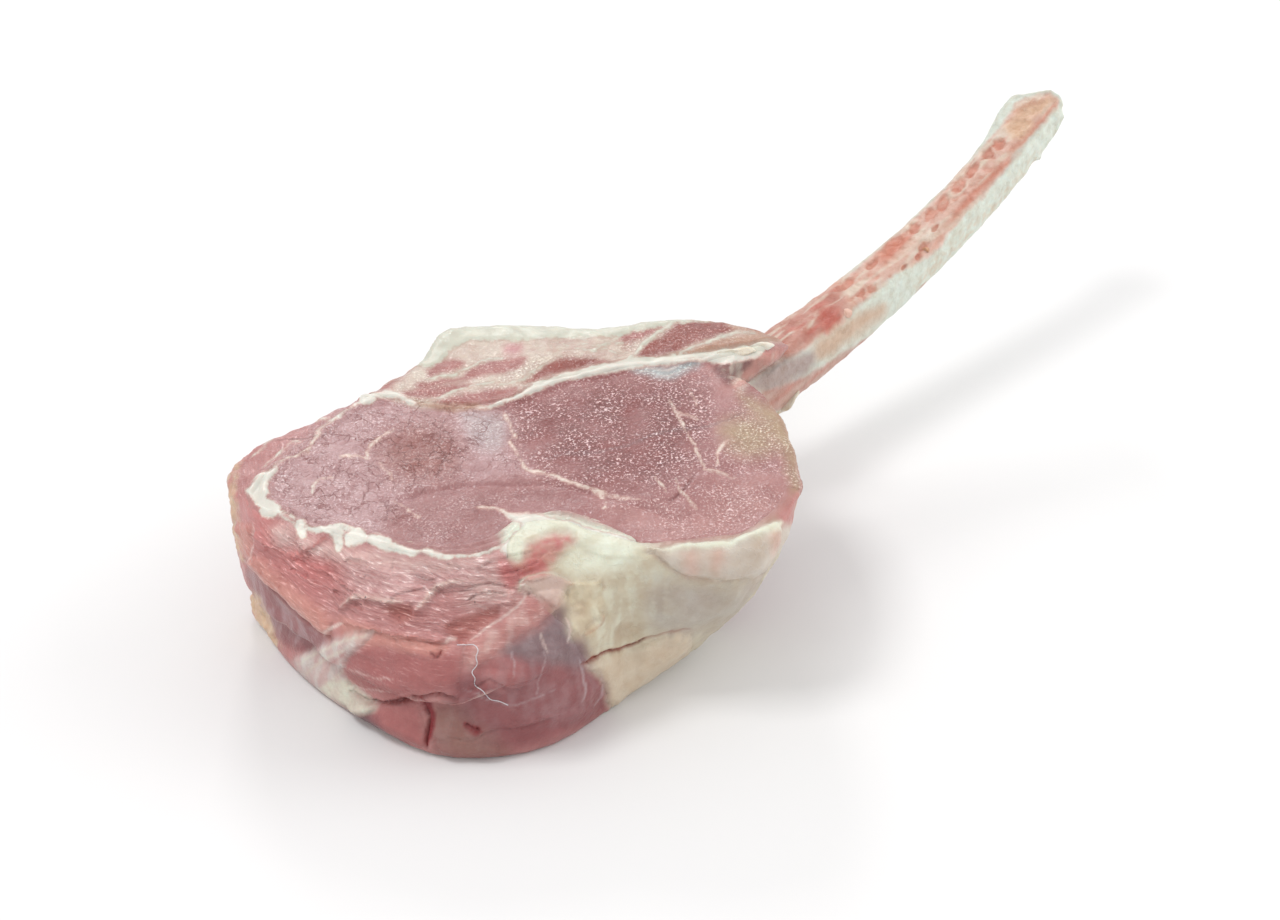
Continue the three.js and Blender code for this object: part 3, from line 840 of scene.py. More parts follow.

# %% [markdown]
# ## Drawing the colour
# The fields of colour lie one over the other, from the broad ones to the small, each with the width of
# its edge in pixels. A veil is a colour that lies in streaks, as a torn film of skin does, and a fringe
# is the meat's dried edge, rough and tan. Lines of colour come last: dark blood in the cracks, pale
# threads of skin along the torn edges, painted shade in the creases and under overhangs, and painted
# highlights along a few raised edges. Two fields are painted shade too: in the notch by the bone and low
# on the front.

# %% Drawn colour
EYE_GREY_PINK, EYE_DARK, EYE_BROWN, EYE_SHEEN = "#b79090", "#8a4b49", "#97605a", "#b6a0a0"
EYE_PALE, EYE_TAN, EYE_MAUVE, SILVER = "#b07e7a", "#ad8f74", "#9f6d6b", "#9fa0a0"
OUTER_RED, OUTER_PALE, SALMON, DEEP_SALMON = "#c27673", "#c79a97", "#c08379", "#b27069"
LOW_RED, PURPLE, LILAC, LOW_BROWN = "#a05f5d", "#8a4e4f", "#7e6466", "#8c5f56"
FILM_WHITE, TAN, TONGUE_PINK, RAGGED_FAT = "#c3b9b3", "#c9ab90", "#c1a89d", "#cabfa6"
CAP_CREAM, CAP_LIGHT, CAP_PINK, CAP_GREY, CAP_LOW = "#c8bfa9", "#dee1cf", "#c6bcb0", "#b3ab9f", "#ccbea9"
STRIP_RED, STRIP_DEEP, STRIP_PINK = "#a46761", "#90493f", "#cab6a8"
STRIP_SPOT, STRIP_TAN = "#c08082", "#b48c77"
BLOOD, CREASE_SHADE, SHADE, FOLD_ROSE = "#7c161f", "#8e3f2e", "#7c4543", "#b57c76"
PALE_THREAD, ROSY_WHITE, ROLL_ROSE, VEIL_LILAC = "#e2cdc4", "#cfa9a3", "#cbaea1", "#bba9ab"
OUTER_PINK, FLAKE_HIGHLIGHT, BASE_SHADE = "#b87f7c", "#dcbfb4", "#714448"
FILM_GREY, FILM_CREAM = "#b39d96", "#cdc6b4"

# %% Fields of colour
FIELDS = [
    (EYE_GREY_PINK, 14, EYE_LEFT),
    (EYE_BROWN, 22, [(378, 440), (405, 425), (440, 425), (462, 450), (450, 478), (405, 482), (380, 465)]),
    (EYE_SHEEN, 10, [(463, 414), (498, 414), (508, 432), (498, 450), (480, 448), (466, 430)]),
    (EYE_DARK, 25, [(512, 410), (560, 394), (620, 376), (680, 384), (700, 420), (690, 462), (640, 488),
                    (560, 474)]),
    (EYE_MAUVE, 12, [(396, 503), (440, 494), (520, 490), (580, 492), (600, 500), (560, 508), (505, 504),
                     (505, 530), (470, 550), (420, 548), (385, 535)]),
    (EYE_PALE, 18, [(600, 502), (690, 510), (730, 480), (795, 470), (800, 500), (776, 524), (716, 545),
                    (660, 548)]),
    (EYE_TAN, 10, [(735, 394), (760, 400), (782, 414), (797, 450), (803, 492), (795, 494), (784, 458),
                   (762, 424)]),
    (EYE_TAN, 14, [(722, 424), (745, 418), (768, 428), (772, 450), (750, 456), (728, 446)]),
    (EYE_PALE, 8, [(706, 366), (722, 372), (732, 388), (738, 402), (724, 398), (712, 384)]),
    (SALMON, 5, [(716, 366), (745, 356), (772, 350), (784, 352), (760, 374), (735, 388)]),
    (SHADE, 4, [(712, 366), (738, 360), (752, 362), (740, 376), (726, 386)]),
    (SILVER, 5, [(628, 369), (645, 367), (665, 366), (690, 361), (703, 360), (696, 367), (684, 373),
                 (672, 379), (655, 378), (640, 374)]),
    (STRIP_PINK, 6, [(390, 396), (430, 352), (460, 330), (560, 332), (640, 326), (720, 312), (785, 332),
                     (764, 346), (700, 358), (600, 366), (520, 390), (440, 408)]),
    (STRIP_RED, 4, [(428, 374), (433, 363), (447, 358), (464, 360), (461, 369), (444, 373), (432, 378)]),
    (STRIP_RED, 4, [(416, 384), (436, 380), (461, 376), (472, 366), (498, 360), (526, 357), (523, 366),
                    (506, 373), (486, 377), (464, 380), (436, 387), (422, 390)]),
    (STRIP_RED, 4, [(404, 392), (433, 387), (461, 383), (472, 384), (453, 392), (433, 398), (410, 398)]),
    (STRIP_RED, 4, [(436, 402), (456, 394), (478, 390), (498, 388), (517, 387), (512, 394), (492, 399),
                    (472, 404), (450, 406)]),
    (STRIP_DEEP, 4, [(520, 384), (531, 377), (542, 367), (554, 360), (576, 358), (601, 360), (612, 362),
                     (598, 365), (576, 369), (554, 374), (537, 381)]),
    (STRIP_RED, 4, [(618, 336), (632, 331), (654, 325), (668, 322), (666, 328), (649, 336), (638, 342),
                    (626, 342)]),
    (STRIP_DEEP, 4, [(636, 353), (649, 342), (663, 334), (674, 324), (688, 319), (710, 319), (738, 324),
                     (741, 329), (724, 335), (702, 342), (682, 349), (660, 355), (646, 357)]),
    (STRIP_TAN, 4, [(671, 355), (688, 349), (710, 342), (733, 336), (755, 334), (764, 338), (744, 345),
                    (716, 350), (688, 356)]),
    (STRIP_TAN, 5, [(726, 320), (750, 325), (782, 331), (776, 341), (750, 334), (734, 330)]),
    (STRIP_SPOT, 8, [(504, 352), (509, 344), (520, 343), (523, 349), (514, 355)]),
    (STRIP_TAN, 4, [(416, 402), (444, 405), (472, 403), (483, 407), (467, 411), (439, 410)]),
    (OUTER_PALE, 14, [(345, 560), (420, 564), (490, 558), (515, 566), (470, 592), (440, 586), (420, 602),
                      (360, 594)]),
    (OUTER_RED, 28, [(254, 520), (276, 522), (300, 542), (328, 552), (336, 570), (326, 590), (306, 590),
                     (268, 556)]),
    (ROSY_WHITE, 10, [(273, 528), (285, 524), (295, 528), (295, 541), (282, 546)]),
    (ROSY_WHITE, 9, [(300, 534), (340, 546), (380, 552), (420, 560), (470, 562), (502, 556), (470, 568),
                     (420, 570), (380, 566), (336, 560), (304, 548)]),
    (ROSY_WHITE, 18, [(470, 586), (500, 570), (520, 576), (515, 600), (495, 606), (470, 604)]),
    (OUTER_RED, 7, [(498, 560), (514, 563), (528, 569), (546, 575), (520, 590), (504, 586)]),
    (DEEP_SALMON, 5, WEDGE),
    (DEEP_SALMON, 6, [(388, 608), (402, 604), (416, 608), (412, 622), (398, 622)]),
    (SALMON, 6, [(340, 616), (380, 628), (430, 640), (450, 646), (440, 658), (400, 650), (350, 640)]),
    (LOW_RED, 8, [(346, 652), (380, 645), (430, 655), (462, 655), (458, 690), (430, 692), (390, 696),
                  (354, 676)]),
    (SALMON, 5, LIP),
    (SALMON, 5, [(254, 562), (272, 580), (294, 601), (318, 622), (330, 634), (324, 636), (292, 610),
                 (268, 588)]),
    (FOLD_ROSE, 16, FOLD),
    (PURPLE, 10, [(462, 676), (500, 658), (540, 640), (586, 660), (600, 664), (612, 706), (560, 738),
                  (500, 754), (462, 758), (432, 742), (440, 712)]),
    (LILAC, 9, [(504, 650), (540, 626), (566, 604), (578, 622), (588, 650), (584, 668), (556, 664),
                (524, 660)]),
    (LOW_RED, 10, [(480, 668), (500, 660), (522, 666), (516, 684), (496, 688), (482, 682)]),
    (PURPLE, 5, [(246, 572), (254, 572), (278, 594), (300, 614), (326, 637), (308, 648), (282, 640),
                 (260, 612)]),
    (PURPLE, 6, [(272, 620), (290, 616), (312, 632), (324, 642), (304, 652), (284, 644)]),
    (LOW_RED, 6, LOW_LOBE),
    # Painted shade low on the front, near the table
    (BASE_SHADE, 8, [(340, 708), (376, 712), (388, 732), (362, 730)]),
    (LOW_BROWN, 14, [(430, 712), (452, 706), (474, 722), (500, 744), (504, 754), (466, 758), (436, 748)]),
    (SALMON, 5, [(238, 528), (250, 526), (256, 540), (252, 556), (244, 556)]),
    (TAN, 4, [(246, 598), (256, 596), (266, 610), (274, 632), (262, 632), (250, 612)]),
    (TONGUE_PINK, 6, TONGUE),
    (CAP_LIGHT, 10, [(503, 509), (600, 524), (657, 547), (640, 558), (612, 572), (576, 572), (560, 560),
                     (576, 540), (558, 531), (530, 545), (515, 560)]),
    (CAP_GREY, 16, [(654, 586), (740, 585), (775, 570), (745, 615), (690, 633), (650, 628)]),
    (RAGGED_FAT, 9, CRUMBLY),
    (CAP_LOW, 6, LOW_CREAM),
    (CAP_PINK, 5, ROLL),
    (FOLD_ROSE, 5, [(779, 512), (803, 488), (806, 512), (797, 524), (786, 532), (779, 528)]),
    (CAP_PINK, 6, [(780, 528), (798, 524), (806, 530), (792, 556), (778, 566), (776, 550)]),
    (ROLL_ROSE, 11, [(684, 556), (690, 550), (697, 556), (696, 572), (688, 572)]),
    (ROLL_ROSE, 10, [(710, 548), (718, 545), (722, 556), (716, 566), (710, 562)]),
    (ROLL_ROSE, 6, [(768, 534), (775, 532), (775, 546), (768, 552)]),
    (CAP_LIGHT, 4, [(503, 545), (512, 538), (522, 540), (525, 548), (519, 558), (510, 556)]),
    (CAP_LIGHT, 3, [(655, 549), (680, 546), (728, 541), (777, 522), (777, 528), (730, 547), (690, 551)]),
]

# %% Lines of colour
FIELD_STROKES = [
    (BLOOD, 0.95, 8, 2, [(419, 700), (427, 708), (433, 718), (430, 730), (427, 746)]),
    (BLOOD, 0.85, 7, 3, [(464, 721), (472, 727), (482, 731)]),
    (BLOOD, 0.7, 2, 2, [(434, 652), (438, 656), (442, 650)]),
    # Painted shade, brown, in the creases of the front and the cap
    (CREASE_SHADE, 0.95, 3, 1.5, [(582, 665), (595, 658), (606, 652), (619, 650), (632, 645), (645, 639)]),
    (CREASE_SHADE, 0.6, 1, 2, [(632, 645), (645, 639), (660, 635), (690, 630)]),
    (CREASE_SHADE, 0.2, 2, 4, [(646, 549), (660, 560), (670, 568), (684, 577), (698, 580), (720, 581),
                               (746, 580)]),
    (SHADE, 0.5, 3, 4, [(352, 691), (372, 702), (396, 703), (420, 699), (440, 696), (457, 702)]),
    (PALE_THREAD, 0.6, 1, 1.2, [(628, 370), (645, 372), (664, 376), (684, 370), (700, 363)]),
    (PALE_THREAD, 0.6, 1, 1.2, [(640, 368), (660, 370), (680, 365)]),
    # Painted shade, brown, in a crease
    (CREASE_SHADE, 0.5, 1, 1.5, [(602, 612), (600, 622), (590, 630), (582, 636)]),
    (SHADE, 0.8, 2, 2.5, [(695, 474), (688, 484), (680, 493), (670, 503)]),
    (SHADE, 0.5, 2, 3, [(252, 569), (272, 590), (296, 612), (316, 629), (332, 639)]),
    (OUTER_RED, 0.8, 2, 2, [(305, 551), (318, 543), (332, 534)]),
    # Pale flake edges with a painted highlight along them
    (FLAKE_HIGHLIGHT, 0.85, 4, 3, [(346, 604), (356, 596), (370, 596), (388, 599), (406, 600)]),
    (FLAKE_HIGHLIGHT, 0.85, 4, 3, [(420, 606), (428, 598), (434, 592), (439, 586), (450, 582), (462, 582)]),
    # A pale thread of skin with a painted highlight along the fold's upper edge
    (PALE_THREAD, 0.7, 2, 1.5, [(470, 640), (490, 626), (510, 613), (520, 604), (525, 595), (519, 589)]),
    (PALE_THREAD, 0.6, 1, 1.5, [(252, 524), (257, 540), (256, 549), (251, 561)]),
    (PALE_THREAD, 0.5, 1, 1.5, [(254, 564), (272, 582), (294, 603), (316, 623), (330, 634)]),
    (PALE_THREAD, 0.8, 3, 1.5, [(325, 634), (332, 627), (344, 622)]),
    (PALE_THREAD, 0.5, 1, 1.2, [(352, 668), (366, 672), (384, 676), (398, 677)]),
    (PALE_THREAD, 0.5, 1, 1.2, [(354, 684), (370, 688), (392, 690)]),
    (PALE_THREAD, 0.6, 2, 1.5, [(540, 632), (544, 642), (548, 652)]),
    (VEIL_LILAC, 0.6, 1, 1.2, [(511, 650), (513, 662), (512, 677)]),
    (VEIL_LILAC, 0.6, 1, 1.2, [(543, 653), (545, 660), (541, 672), (537, 684), (536, 695)]),
    (VEIL_LILAC, 0.6, 2, 1.5, [(580, 660), (584, 674), (584, 688), (581, 701)]),
    (VEIL_LILAC, 0.5, 2, 1.5, [(597, 668), (602, 682), (600, 696), (594, 706)]),
    (VEIL_LILAC, 0.5, 1, 1.2, [(462, 690), (480, 696), (508, 704), (530, 700), (556, 690)]),
    (PALE_THREAD, 0.7, 2, 1.5, [(566, 618), (570, 630), (568, 644)]),
    (PALE_THREAD, 0.7, 3, 2, [(446, 643), (450, 639), (456, 641)]),
    (FILM_CREAM, 0.8, 2, 1.5, [(519, 592), (520, 582), (530, 576), (545, 574), (560, 577), (571, 583)]),
    (FILM_CREAM, 0.6, 2, 2, [(300, 664), (320, 652), (345, 640), (368, 634)]),
    (FILM_CREAM, 0.6, 2, 2, [(306, 674), (330, 657), (352, 646)]),
    (FILM_CREAM, 0.5, 2, 2, [(318, 690), (336, 680), (346, 668)]),
    (LOW_RED, 0.6, 2, 2, [(330, 664), (342, 656), (352, 648)]),
    (LILAC, 0.5, 2, 2, [(546, 457), (618, 448), (664, 432), (710, 425), (743, 414)]),
]

# %% Veils, fringes and colours of the drawn fat
VEILS = [
    (FILM_WHITE, 0.85, 0.4, 5, FILM),
    (FILM_CREAM, 0.9, 0.2, 4, [(322, 688), (340, 678), (352, 680), (368, 694), (380, 706), (374, 711),
                               (354, 710), (336, 702)]),
    (VEIL_LILAC, 0.16, 0.8, 14, [(504, 650), (540, 626), (566, 604), (578, 622), (592, 664), (604, 690),
                                 (560, 730), (500, 700)]),
    (VEIL_LILAC, 0.1, 0.8, 12, [(462, 676), (500, 660), (500, 740), (440, 750), (430, 716)]),
    (VEIL_LILAC, 0.35, 0.7, 6, [(250, 572), (278, 594), (326, 637), (308, 648), (282, 640), (262, 610)]),
    (CAP_LIGHT, 0.5, 1.0, 14, [(600, 560), (650, 565), (680, 590), (640, 640), (600, 650), (590, 610)]),
    (CAP_GREY, 0.5, 1.0, 14, [(650, 570), (740, 580), (770, 570), (740, 615), (690, 640), (640, 620)]),
    (CAP_LIGHT, 0.4, 0.8, 5, [(720, 366), (745, 358), (784, 352), (790, 362), (760, 376), (740, 390)]),
    (PALE_THREAD, 0.25, 1.0, 8, FOLD),
    (STRIP_RED, 0.35, 1.0, 8, [(526, 348), (560, 342), (616, 338), (634, 346), (620, 358), (560, 358)]),
    (OUTER_RED, 1.0, 0.3, 8, RED_PATCH),
]
FRINGES = [
    [(226, 455), (240, 456), (238, 470), (236, 500), (240, 530), (246, 556), (240, 558), (233, 520),
     (227, 480)],
    [(246, 594), (255, 594), (264, 608), (272, 630), (280, 646), (270, 646), (254, 622)],
]
SEAM_WHITE, STRIP_CREAM, VEIN_CREAM = "#e8e4d9", "#d2d0c0", "#eadfd3"
FAT_FIELDS = [
    (STRIP_CREAM, 8, [(400, 390), (440, 320), (700, 300), (780, 325), (770, 350), (700, 356), (600, 362),
                      (500, 392)]),
    (VEIN_CREAM, 8, [(300, 460), (340, 420), (500, 405), (640, 376), (720, 390), (760, 440), (740, 500),
                     (600, 510), (380, 520)]),
]
print(len(FIELDS), "fields and", len(FIELD_STROKES), "lines of colour drawn")

# %% [markdown]
# ## Settling a soft piece
# Muscle and fat sag and swell together, so one gentle unevenness moves every soft piece alike, and
# the seams stay shut. It fades out at the table, where the steak lies flat. Each skin also grows by
# a fraction of a millimetre, which closes the hairline gap that the solids keep, and the lower right
# side is tucked in to the outline that the picture shows.

# %% Settle
LIES_FLAT = 5.0
TUCKED = [(808, 500), (830, 560), (760, 670), (660, 730), (640, 700), (690, 652), (740, 612), (772, 568),
          (790, 530)]
TUCK = np.array((-3.0, 2.4, 0)) * MM
TUCK_EDGE = 22
RIM_OVERLAP, RIM_LIFT = 0.35, 0.45


def settle(piece, node, grows, sinks):
    """Closes a piece's joins, grows it and lets its top sink by some mm, and sags it with its neighbours.
    Returns its points, their outward directions and, from 0 to 1, how free of the table each lies."""
    normals = read(piece, "normal")
    points, join, outward = close_joins(piece, node)
    free = (1 - join)[:, None]
    points += MM * (free * grows * normals + (1 - free) * (RIM_OVERLAP * normals + RIM_LIFT * outward))
    settled = soft(points[:, 2], 0, LIES_FLAT * MM)
    points += settled[:, None] * MM * (0.9 * wander(points, 15, 1) + 0.4 * wander(points, 5.5, 2))
    points[:, 2] -= sinks * MM * (1 - join) * soft(normals[:, 2], 0.2, 0.7)
    points += patch(in_picture(points), TUCK_EDGE, TUCKED)[:, None] * TUCK
    place(piece, points)
    return points, free * read(piece, "normal") + (1 - free) * outward, settled


def turned_to_camera(points, outward):
    """1 where the skin faces the camera squarely, 0 where it is seen edge on, less where it turns away."""
    toward = STANDS_AT - points
    toward /= np.linalg.norm(toward, axis=1)[:, None]
    return (toward * outward).sum(1)


def ragged_spots(piece, amount):
    """Each point's place in the picture, shaken by noise so that drawn edges come out ragged."""
    points = read(piece, "co")
    shake = 2.2 * wander(points, 4.5, 3)[:, :2] + 1.3 * wander(points, 1.6, 4)[:, :2]
    return in_picture(points) + amount * shake


# %% [markdown]
# ## Fat and colour on a skin
# The drawings are laid on whichever piece lies there, wherever its skin faces the camera. The picture
# doesn't show the other sides. They carry a streaky film of skin, and the cap's fat spills over its
# rim there in uneven tongues, because a clean join would look cut out with scissors.

# %% Fat and colour
PAST_THE_RIM = -0.45
cap_skin = search_tree([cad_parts["fat_cap"].data])


def laid_fat(points, spots, turned):
    """How far inside fat each point lies, in mm: the drawn fat, and what the cap spills out of sight."""
    fat = np.where(turned > PAST_THE_RIM, drawn_fat(spots) + 0.35 * swell(points, 3.5, 24), NO_FAT)
    cap_gap = np.array([cap_skin.find_nearest(point)[3] for point in points.tolist()]) / MM
    spills = 4 - cap_gap + 9 * swell(points * (1, 1, 0.7), 11, 35) + 3 * swell(points, 3, 36)
    return np.where(turned < 0.05, np.maximum(fat, 0.3 * spills), fat)


def lay_colour(tint, points, spots, facing, fringe, unseen, leaves_out):
    """Paints the film of the unseen sides, the fields, the veils, the fringe and the lines of colour."""
    film = swell(points * (0.5, 0.5, 1.3), 13, 21) + 0.5 * swell(points * (0.4, 0.4, 1.6), 4, 22)
    paint(tint, (1 - facing) * 0.75 * soft(film + 0.3 * swell(points, 1.5, 37), -0.7, 0.6), unseen)
    for colour, edge, outline in FIELDS:
        if colour not in leaves_out:
            paint(tint, facing * patch(spots, edge, outline), colour)
    streaks = soft(swell(points * (1.0, 1.0, 0.3), 2.4, 25) + 0.4 * swell(points, 1.5, 28), -0.3, 0.4)
    for colour, strength, streaky, edge, outline in VEILS:
        share = strength * (1 - streaky * (1 - streaks))
        paint(tint, facing * share * patch(spots, edge, outline), colour)
    paint(tint, fringe * soft(swell(points, 3, 29), -0.6, 0.2), TAN)
    for colour, strength, width, edge, line in FIELD_STROKES:
        paint(tint, facing * strength * stroke(spots, width, edge, line), colour)


# %% [markdown]
# ## Dressing a soft piece
# Now the steps come together. The relief is pressed along the outward directions, hollows get painted
# shade, darker the deeper they lie, and faces that look up are painted darker too, a painted shade that
# evens them with the sides. What the material needs is stored on the skin's points.

# %% Dress
RAGGED = 0.8
EDGE_ON = 0.12
HOLLOW_SHADE = np.array((0.10, 0.20, 0.19))
TOP_SHADE, FAT_TOP_SHADE = 0.2, 0.26
SHARP = math.radians(75)


def dress(piece, node, base, grows, sinks, grain_of, unseen, leaves_out=()):
    """Swells, presses and paints a soft piece. It grows and its top sinks by some mm; `unseen` is the colour
    of the film on the sides away from the camera, and fields of the colours in `leaves_out` stay off it."""
    points, outward, settled = settle(piece, node, grows, sinks)
    spots = ragged_spots(piece, RAGGED)
    turned = turned_to_camera(points, outward)
    facing = soft(turned, 0.0, EDGE_ON)
    grain = grain_of(points)
    fat = laid_fat(points, spots, turned)
    zone = {}
    for name, drawn in ZONES.items():
        strengths = [strength * patch(spots, edge, outline) for strength, edge, outline in drawn]
        zone[name] = facing * np.max(strengths, axis=0)
    fringe = soft(turned, -0.5, -0.2) * np.max([patch(spots, 4, outline) for outline in FRINGES], axis=0)

    rough = 0.8 * swell(points, 9, 18) + 0.4 * swell(points, 3, 26)
    relief = facing * drawn_relief(points, spots, zone, grain) + (1 - facing) * rough
    hollow = np.minimum(relief - 0.5 * facing * domes(spots, DOMES), 0)
    relief += fringe * (0.1 + 1.1 * swell(points, 2.2, 27))
    relief += facing * 0.5 * soft(fat, -0.3, 1.2) * (1 + 0.6 * swell(points, 4, 19))
    place(piece, points + (settled * relief)[:, None] * MM * outward)
    piece.data.set_sharp_from_angle(angle=SHARP)

    face_up = soft(outward[:, 2], 0.5, 0.9)[:, None]
    tint = base_coat(piece, base)
    lay_colour(tint, points, spots, facing, fringe, unseen, leaves_out)
    # Painted shade: darker in the hollows, and darker on the faces that look up
    tint *= np.exp(hollow[:, None] * HOLLOW_SHADE) * (1 - TOP_SHADE * face_up)
    fat_tint = base_coat(piece, SEAM_WHITE)
    for colour, edge, outline in FAT_FIELDS:
        paint(fat_tint, patch(spots, edge, outline), colour)
    paint(fat_tint, soft(turned, 0.1, 0.0), CAP_CREAM)
    # Painted shade on the fat's faces that look up, and lumps of lighter and darker fat at random
    fat_tint *= (1 - FAT_TOP_SHADE * face_up) * (1 + 0.14 * swell(points, 4, 30))[:, None]
    patchy = soft(swell(points, 8, 23), -0.8, 0.3)
    keep(piece, tint=tint, fat_tint=fat_tint, grain=grain, fat=fat, cracks=zone["dried"],
         dots=zone["dots"] * patchy, strands=np.maximum(zone["strands"], 0.3 * (1 - facing)))
    print(f"{piece.name}: relief from {relief.min():.1f} to {relief.max():.1f} mm")


# %% [markdown]
# ## The muscles
# The eye is the round muscle of the cut face, the outer muscle wraps its left and front, and the rib
# strip lies behind it. The outer muscle's fibres run around the steak and sink toward its rim, so
# its grain is measured as an angle. The strip's fibres run along it. The knife cut the eye across its
# fibres, so it glints in specks. The outer muscle was torn along them, so it shines in strands.

# %% Muscles
EYE_ROSE = "#a4706e"
MUSCLE_MIDDLE = np.array((5, 10, 0)) * MM
MEAN_REACH = 70


def around(points):
    """Coordinates stretched along fibres that run around the steak."""
    arm = points - MUSCLE_MIDDLE + 1.2 * MM * wander(points, 9, 20)
    reach = np.hypot(arm[:, 0], arm[:, 1])
    angle = np.arctan2(arm[:, 1], arm[:, 0])
    return np.column_stack((angle * MEAN_REACH * MM * 0.2, arm[:, 2] - 0.6 * reach, reach * 0.4))


def lengthwise(points):
    """Coordinates stretched along fibres that run from left to right."""
    return points * (0.3, 1, 1)


eye = fine_copy(["eye_muscle"], "eye_meat", 0.67, 2)
dress(eye, "eye_muscle", EYE_ROSE, 0.45, 0, around, FILM_GREY, leaves_out=(CAP_LIGHT, CAP_PINK))
finish_piece(eye, raw_lean("raw beef, cut across the grain"), "eye_lean", "eye_muscle")
outer = fine_copy(["outer_muscle"], "outer_meat", 0.6, 2)
dress(outer, "outer_muscle", OUTER_PINK, 0.45, 0, around, FILM_GREY)
finish_piece(outer, raw_lean("raw beef, torn along the grain"), "outer_lean", "outer_muscle")
strip = fine_copy(["rib_strip"], "strip_meat", 0.5, 2)
dress(strip, "rib_strip", STRIP_RED, 0.45, 0, lengthwise, FILM_CREAM)
finish_piece(strip, raw_lean("marbled rib lean"), "strip_lean", "rib_strip")

# %% [markdown]
# ## The seams and the cap
# Between the muscles run sheets of fat. A seam sinks level with the lean on both sides, and only the
# drawn fat stands proud. The cap is the fat that lay under the hide: a thick cream skin over the
# front right, rolled under along its upper edge and folded once lower down.

# %% Seams and cap
SEAM_LEAN = "#b38480"
seam_meat = raw_lean("seam fat, cut across")
for node, name in (("strip_seam", "strip_seam_fat"), ("rim_seam", "rim_seam_fat")):
    seam = fine_copy([node], name, 0.52, 3)
    dress(seam, node, SEAM_LEAN, 1.1, 1.4, around, FILM_CREAM)
    finish_piece(seam, seam_meat, "seam_fat", node)
cap = fine_copy(["fat_cap"], "cap_fat_skin", 0.5, 2)
dress(cap, "fat_cap", CAP_CREAM, 1.2, 0.3, around, FILM_CREAM)
finish_piece(cap, raw_fat("cap fat, skinned", lump=7, sheen=0.42, depth=2.5), "cap_fat", "fat_cap")

# %% [markdown]
# ## The rib bone
# The saw opened the rib along its length: a white hard edge on both sides, and between them spongy
# bone with red marrow in its cells. The cells are pits, pressed into the sawn face. Near the meat the
# sawn face is still covered by red flesh, and a strip of flesh hangs on along the underside.

# %% Drawn bone
BONE_WHITE, BONE_SILVER, SPONGE, MARROW, BONE_FLESH = "#d2d9ce", "#ad9d97", "#d8b3a4", "#ca7a61", "#bd8173"
FLESH_RED, BONE_TAN, BONE_CREAM, TIP_TAN, PEEL = "#bd6253", "#cbb29c", "#ddd0c0", "#dcb99d", "#cfc4b0"
SAWN_FACE = [(765, 326), (806, 298), (826, 285), (858, 267), (893, 236), (921, 212), (938, 196),
             (951, 181), (967, 163), (982, 148), (993, 137), (1004, 123), (1011, 110), (1024, 98),
             (1050, 94), (1057, 104), (1043, 121), (1021, 145), (1001, 174), (985, 194), (963, 216),
             (939, 247), (918, 262), (894, 276), (876, 292), (856, 307), (841, 323), (814, 341),
             (794, 355), (771, 368), (747, 377), (740, 345)]
SAWN_FLESH = [(755, 332), (790, 316), (830, 290), (842, 292), (846, 308), (836, 325), (812, 342),
              (780, 362), (745, 378)]
BONE_CELLS = [(1019, 125, 21, 13, 20), (1031, 109, 30, 11, 30), (1000, 144, 13, 12, 45),
              (988, 153, 15, 10, 50), (973, 169, 21, 9, 58), (958, 185, 17, 12, 42),
              (943, 203, 20, 11, 55), (931, 214, 16, 10, 50), (914, 228, 14, 9, 45),
              (892, 244, 30, 12, 42), (872, 264, 14, 6, 40), (844, 284, 26, 10, 30),
              (925, 246, 12, 8, 45), (918, 257, 9, 6, 45), (872, 289, 12, 8, 30), (862, 293, 9, 6, 30),
              (905, 266, 8, 5, 40), (935, 228, 8, 5, 45)]
MARROW_EDGE = [(1057, 103), (1043, 120), (1030, 133), (1012, 155), (996, 171), (979, 188), (966, 203),
               (951, 219), (941, 232), (930, 246), (915, 258), (900, 269)]
UNDER_FLESH = [(752, 400), (765, 391), (798, 380), (825, 366), (854, 346), (881, 328), (905, 308),
               (926, 284), (930, 300), (905, 325), (876, 345), (845, 366), (820, 385), (800, 402),
               (770, 412)]
SIDE_SILVER = [(752, 384), (772, 366), (800, 354), (818, 350), (812, 368), (795, 382), (770, 392)]
BONE_FIELDS = [
    (FLESH_RED, 8, [(817, 310), (826, 306), (837, 312), (836, 324), (824, 330)]),
    (TIP_TAN, 6, [(1014, 116), (1024, 106), (1040, 99), (1052, 98), (1046, 108), (1030, 117)]),
    (TIP_TAN, 5, [(1006, 126), (1014, 117), (1028, 116), (1032, 124), (1026, 134), (1012, 138)]),
    (MARROW, 9, [(878, 256), (888, 243), (904, 234), (910, 241), (898, 252), (884, 262)]),
    (BONE_CREAM, 6, [(735, 398), (750, 384), (766, 372), (776, 372), (764, 394), (745, 404)]),
    (BONE_SILVER, 7, SIDE_SILVER),
    (BONE_TAN, 8, [(815, 345), (840, 325), (865, 310), (885, 306), (880, 318), (850, 342), (822, 360)]),
]
PEELING = [(1046, 160), (1020, 190), (985, 225), (950, 262), (925, 290), (915, 282), (945, 248),
           (980, 214), (1012, 180), (1036, 154)]
print(len(BONE_CELLS), "cells and", len(BONE_FIELDS), "fields of colour drawn on the bone")

# %% [markdown]
# The solid's tip is blunter than the real one, so its end is drawn out to the picture's outline first.
# Along the bone the noise is stretched, because spongy bone grows in lines.

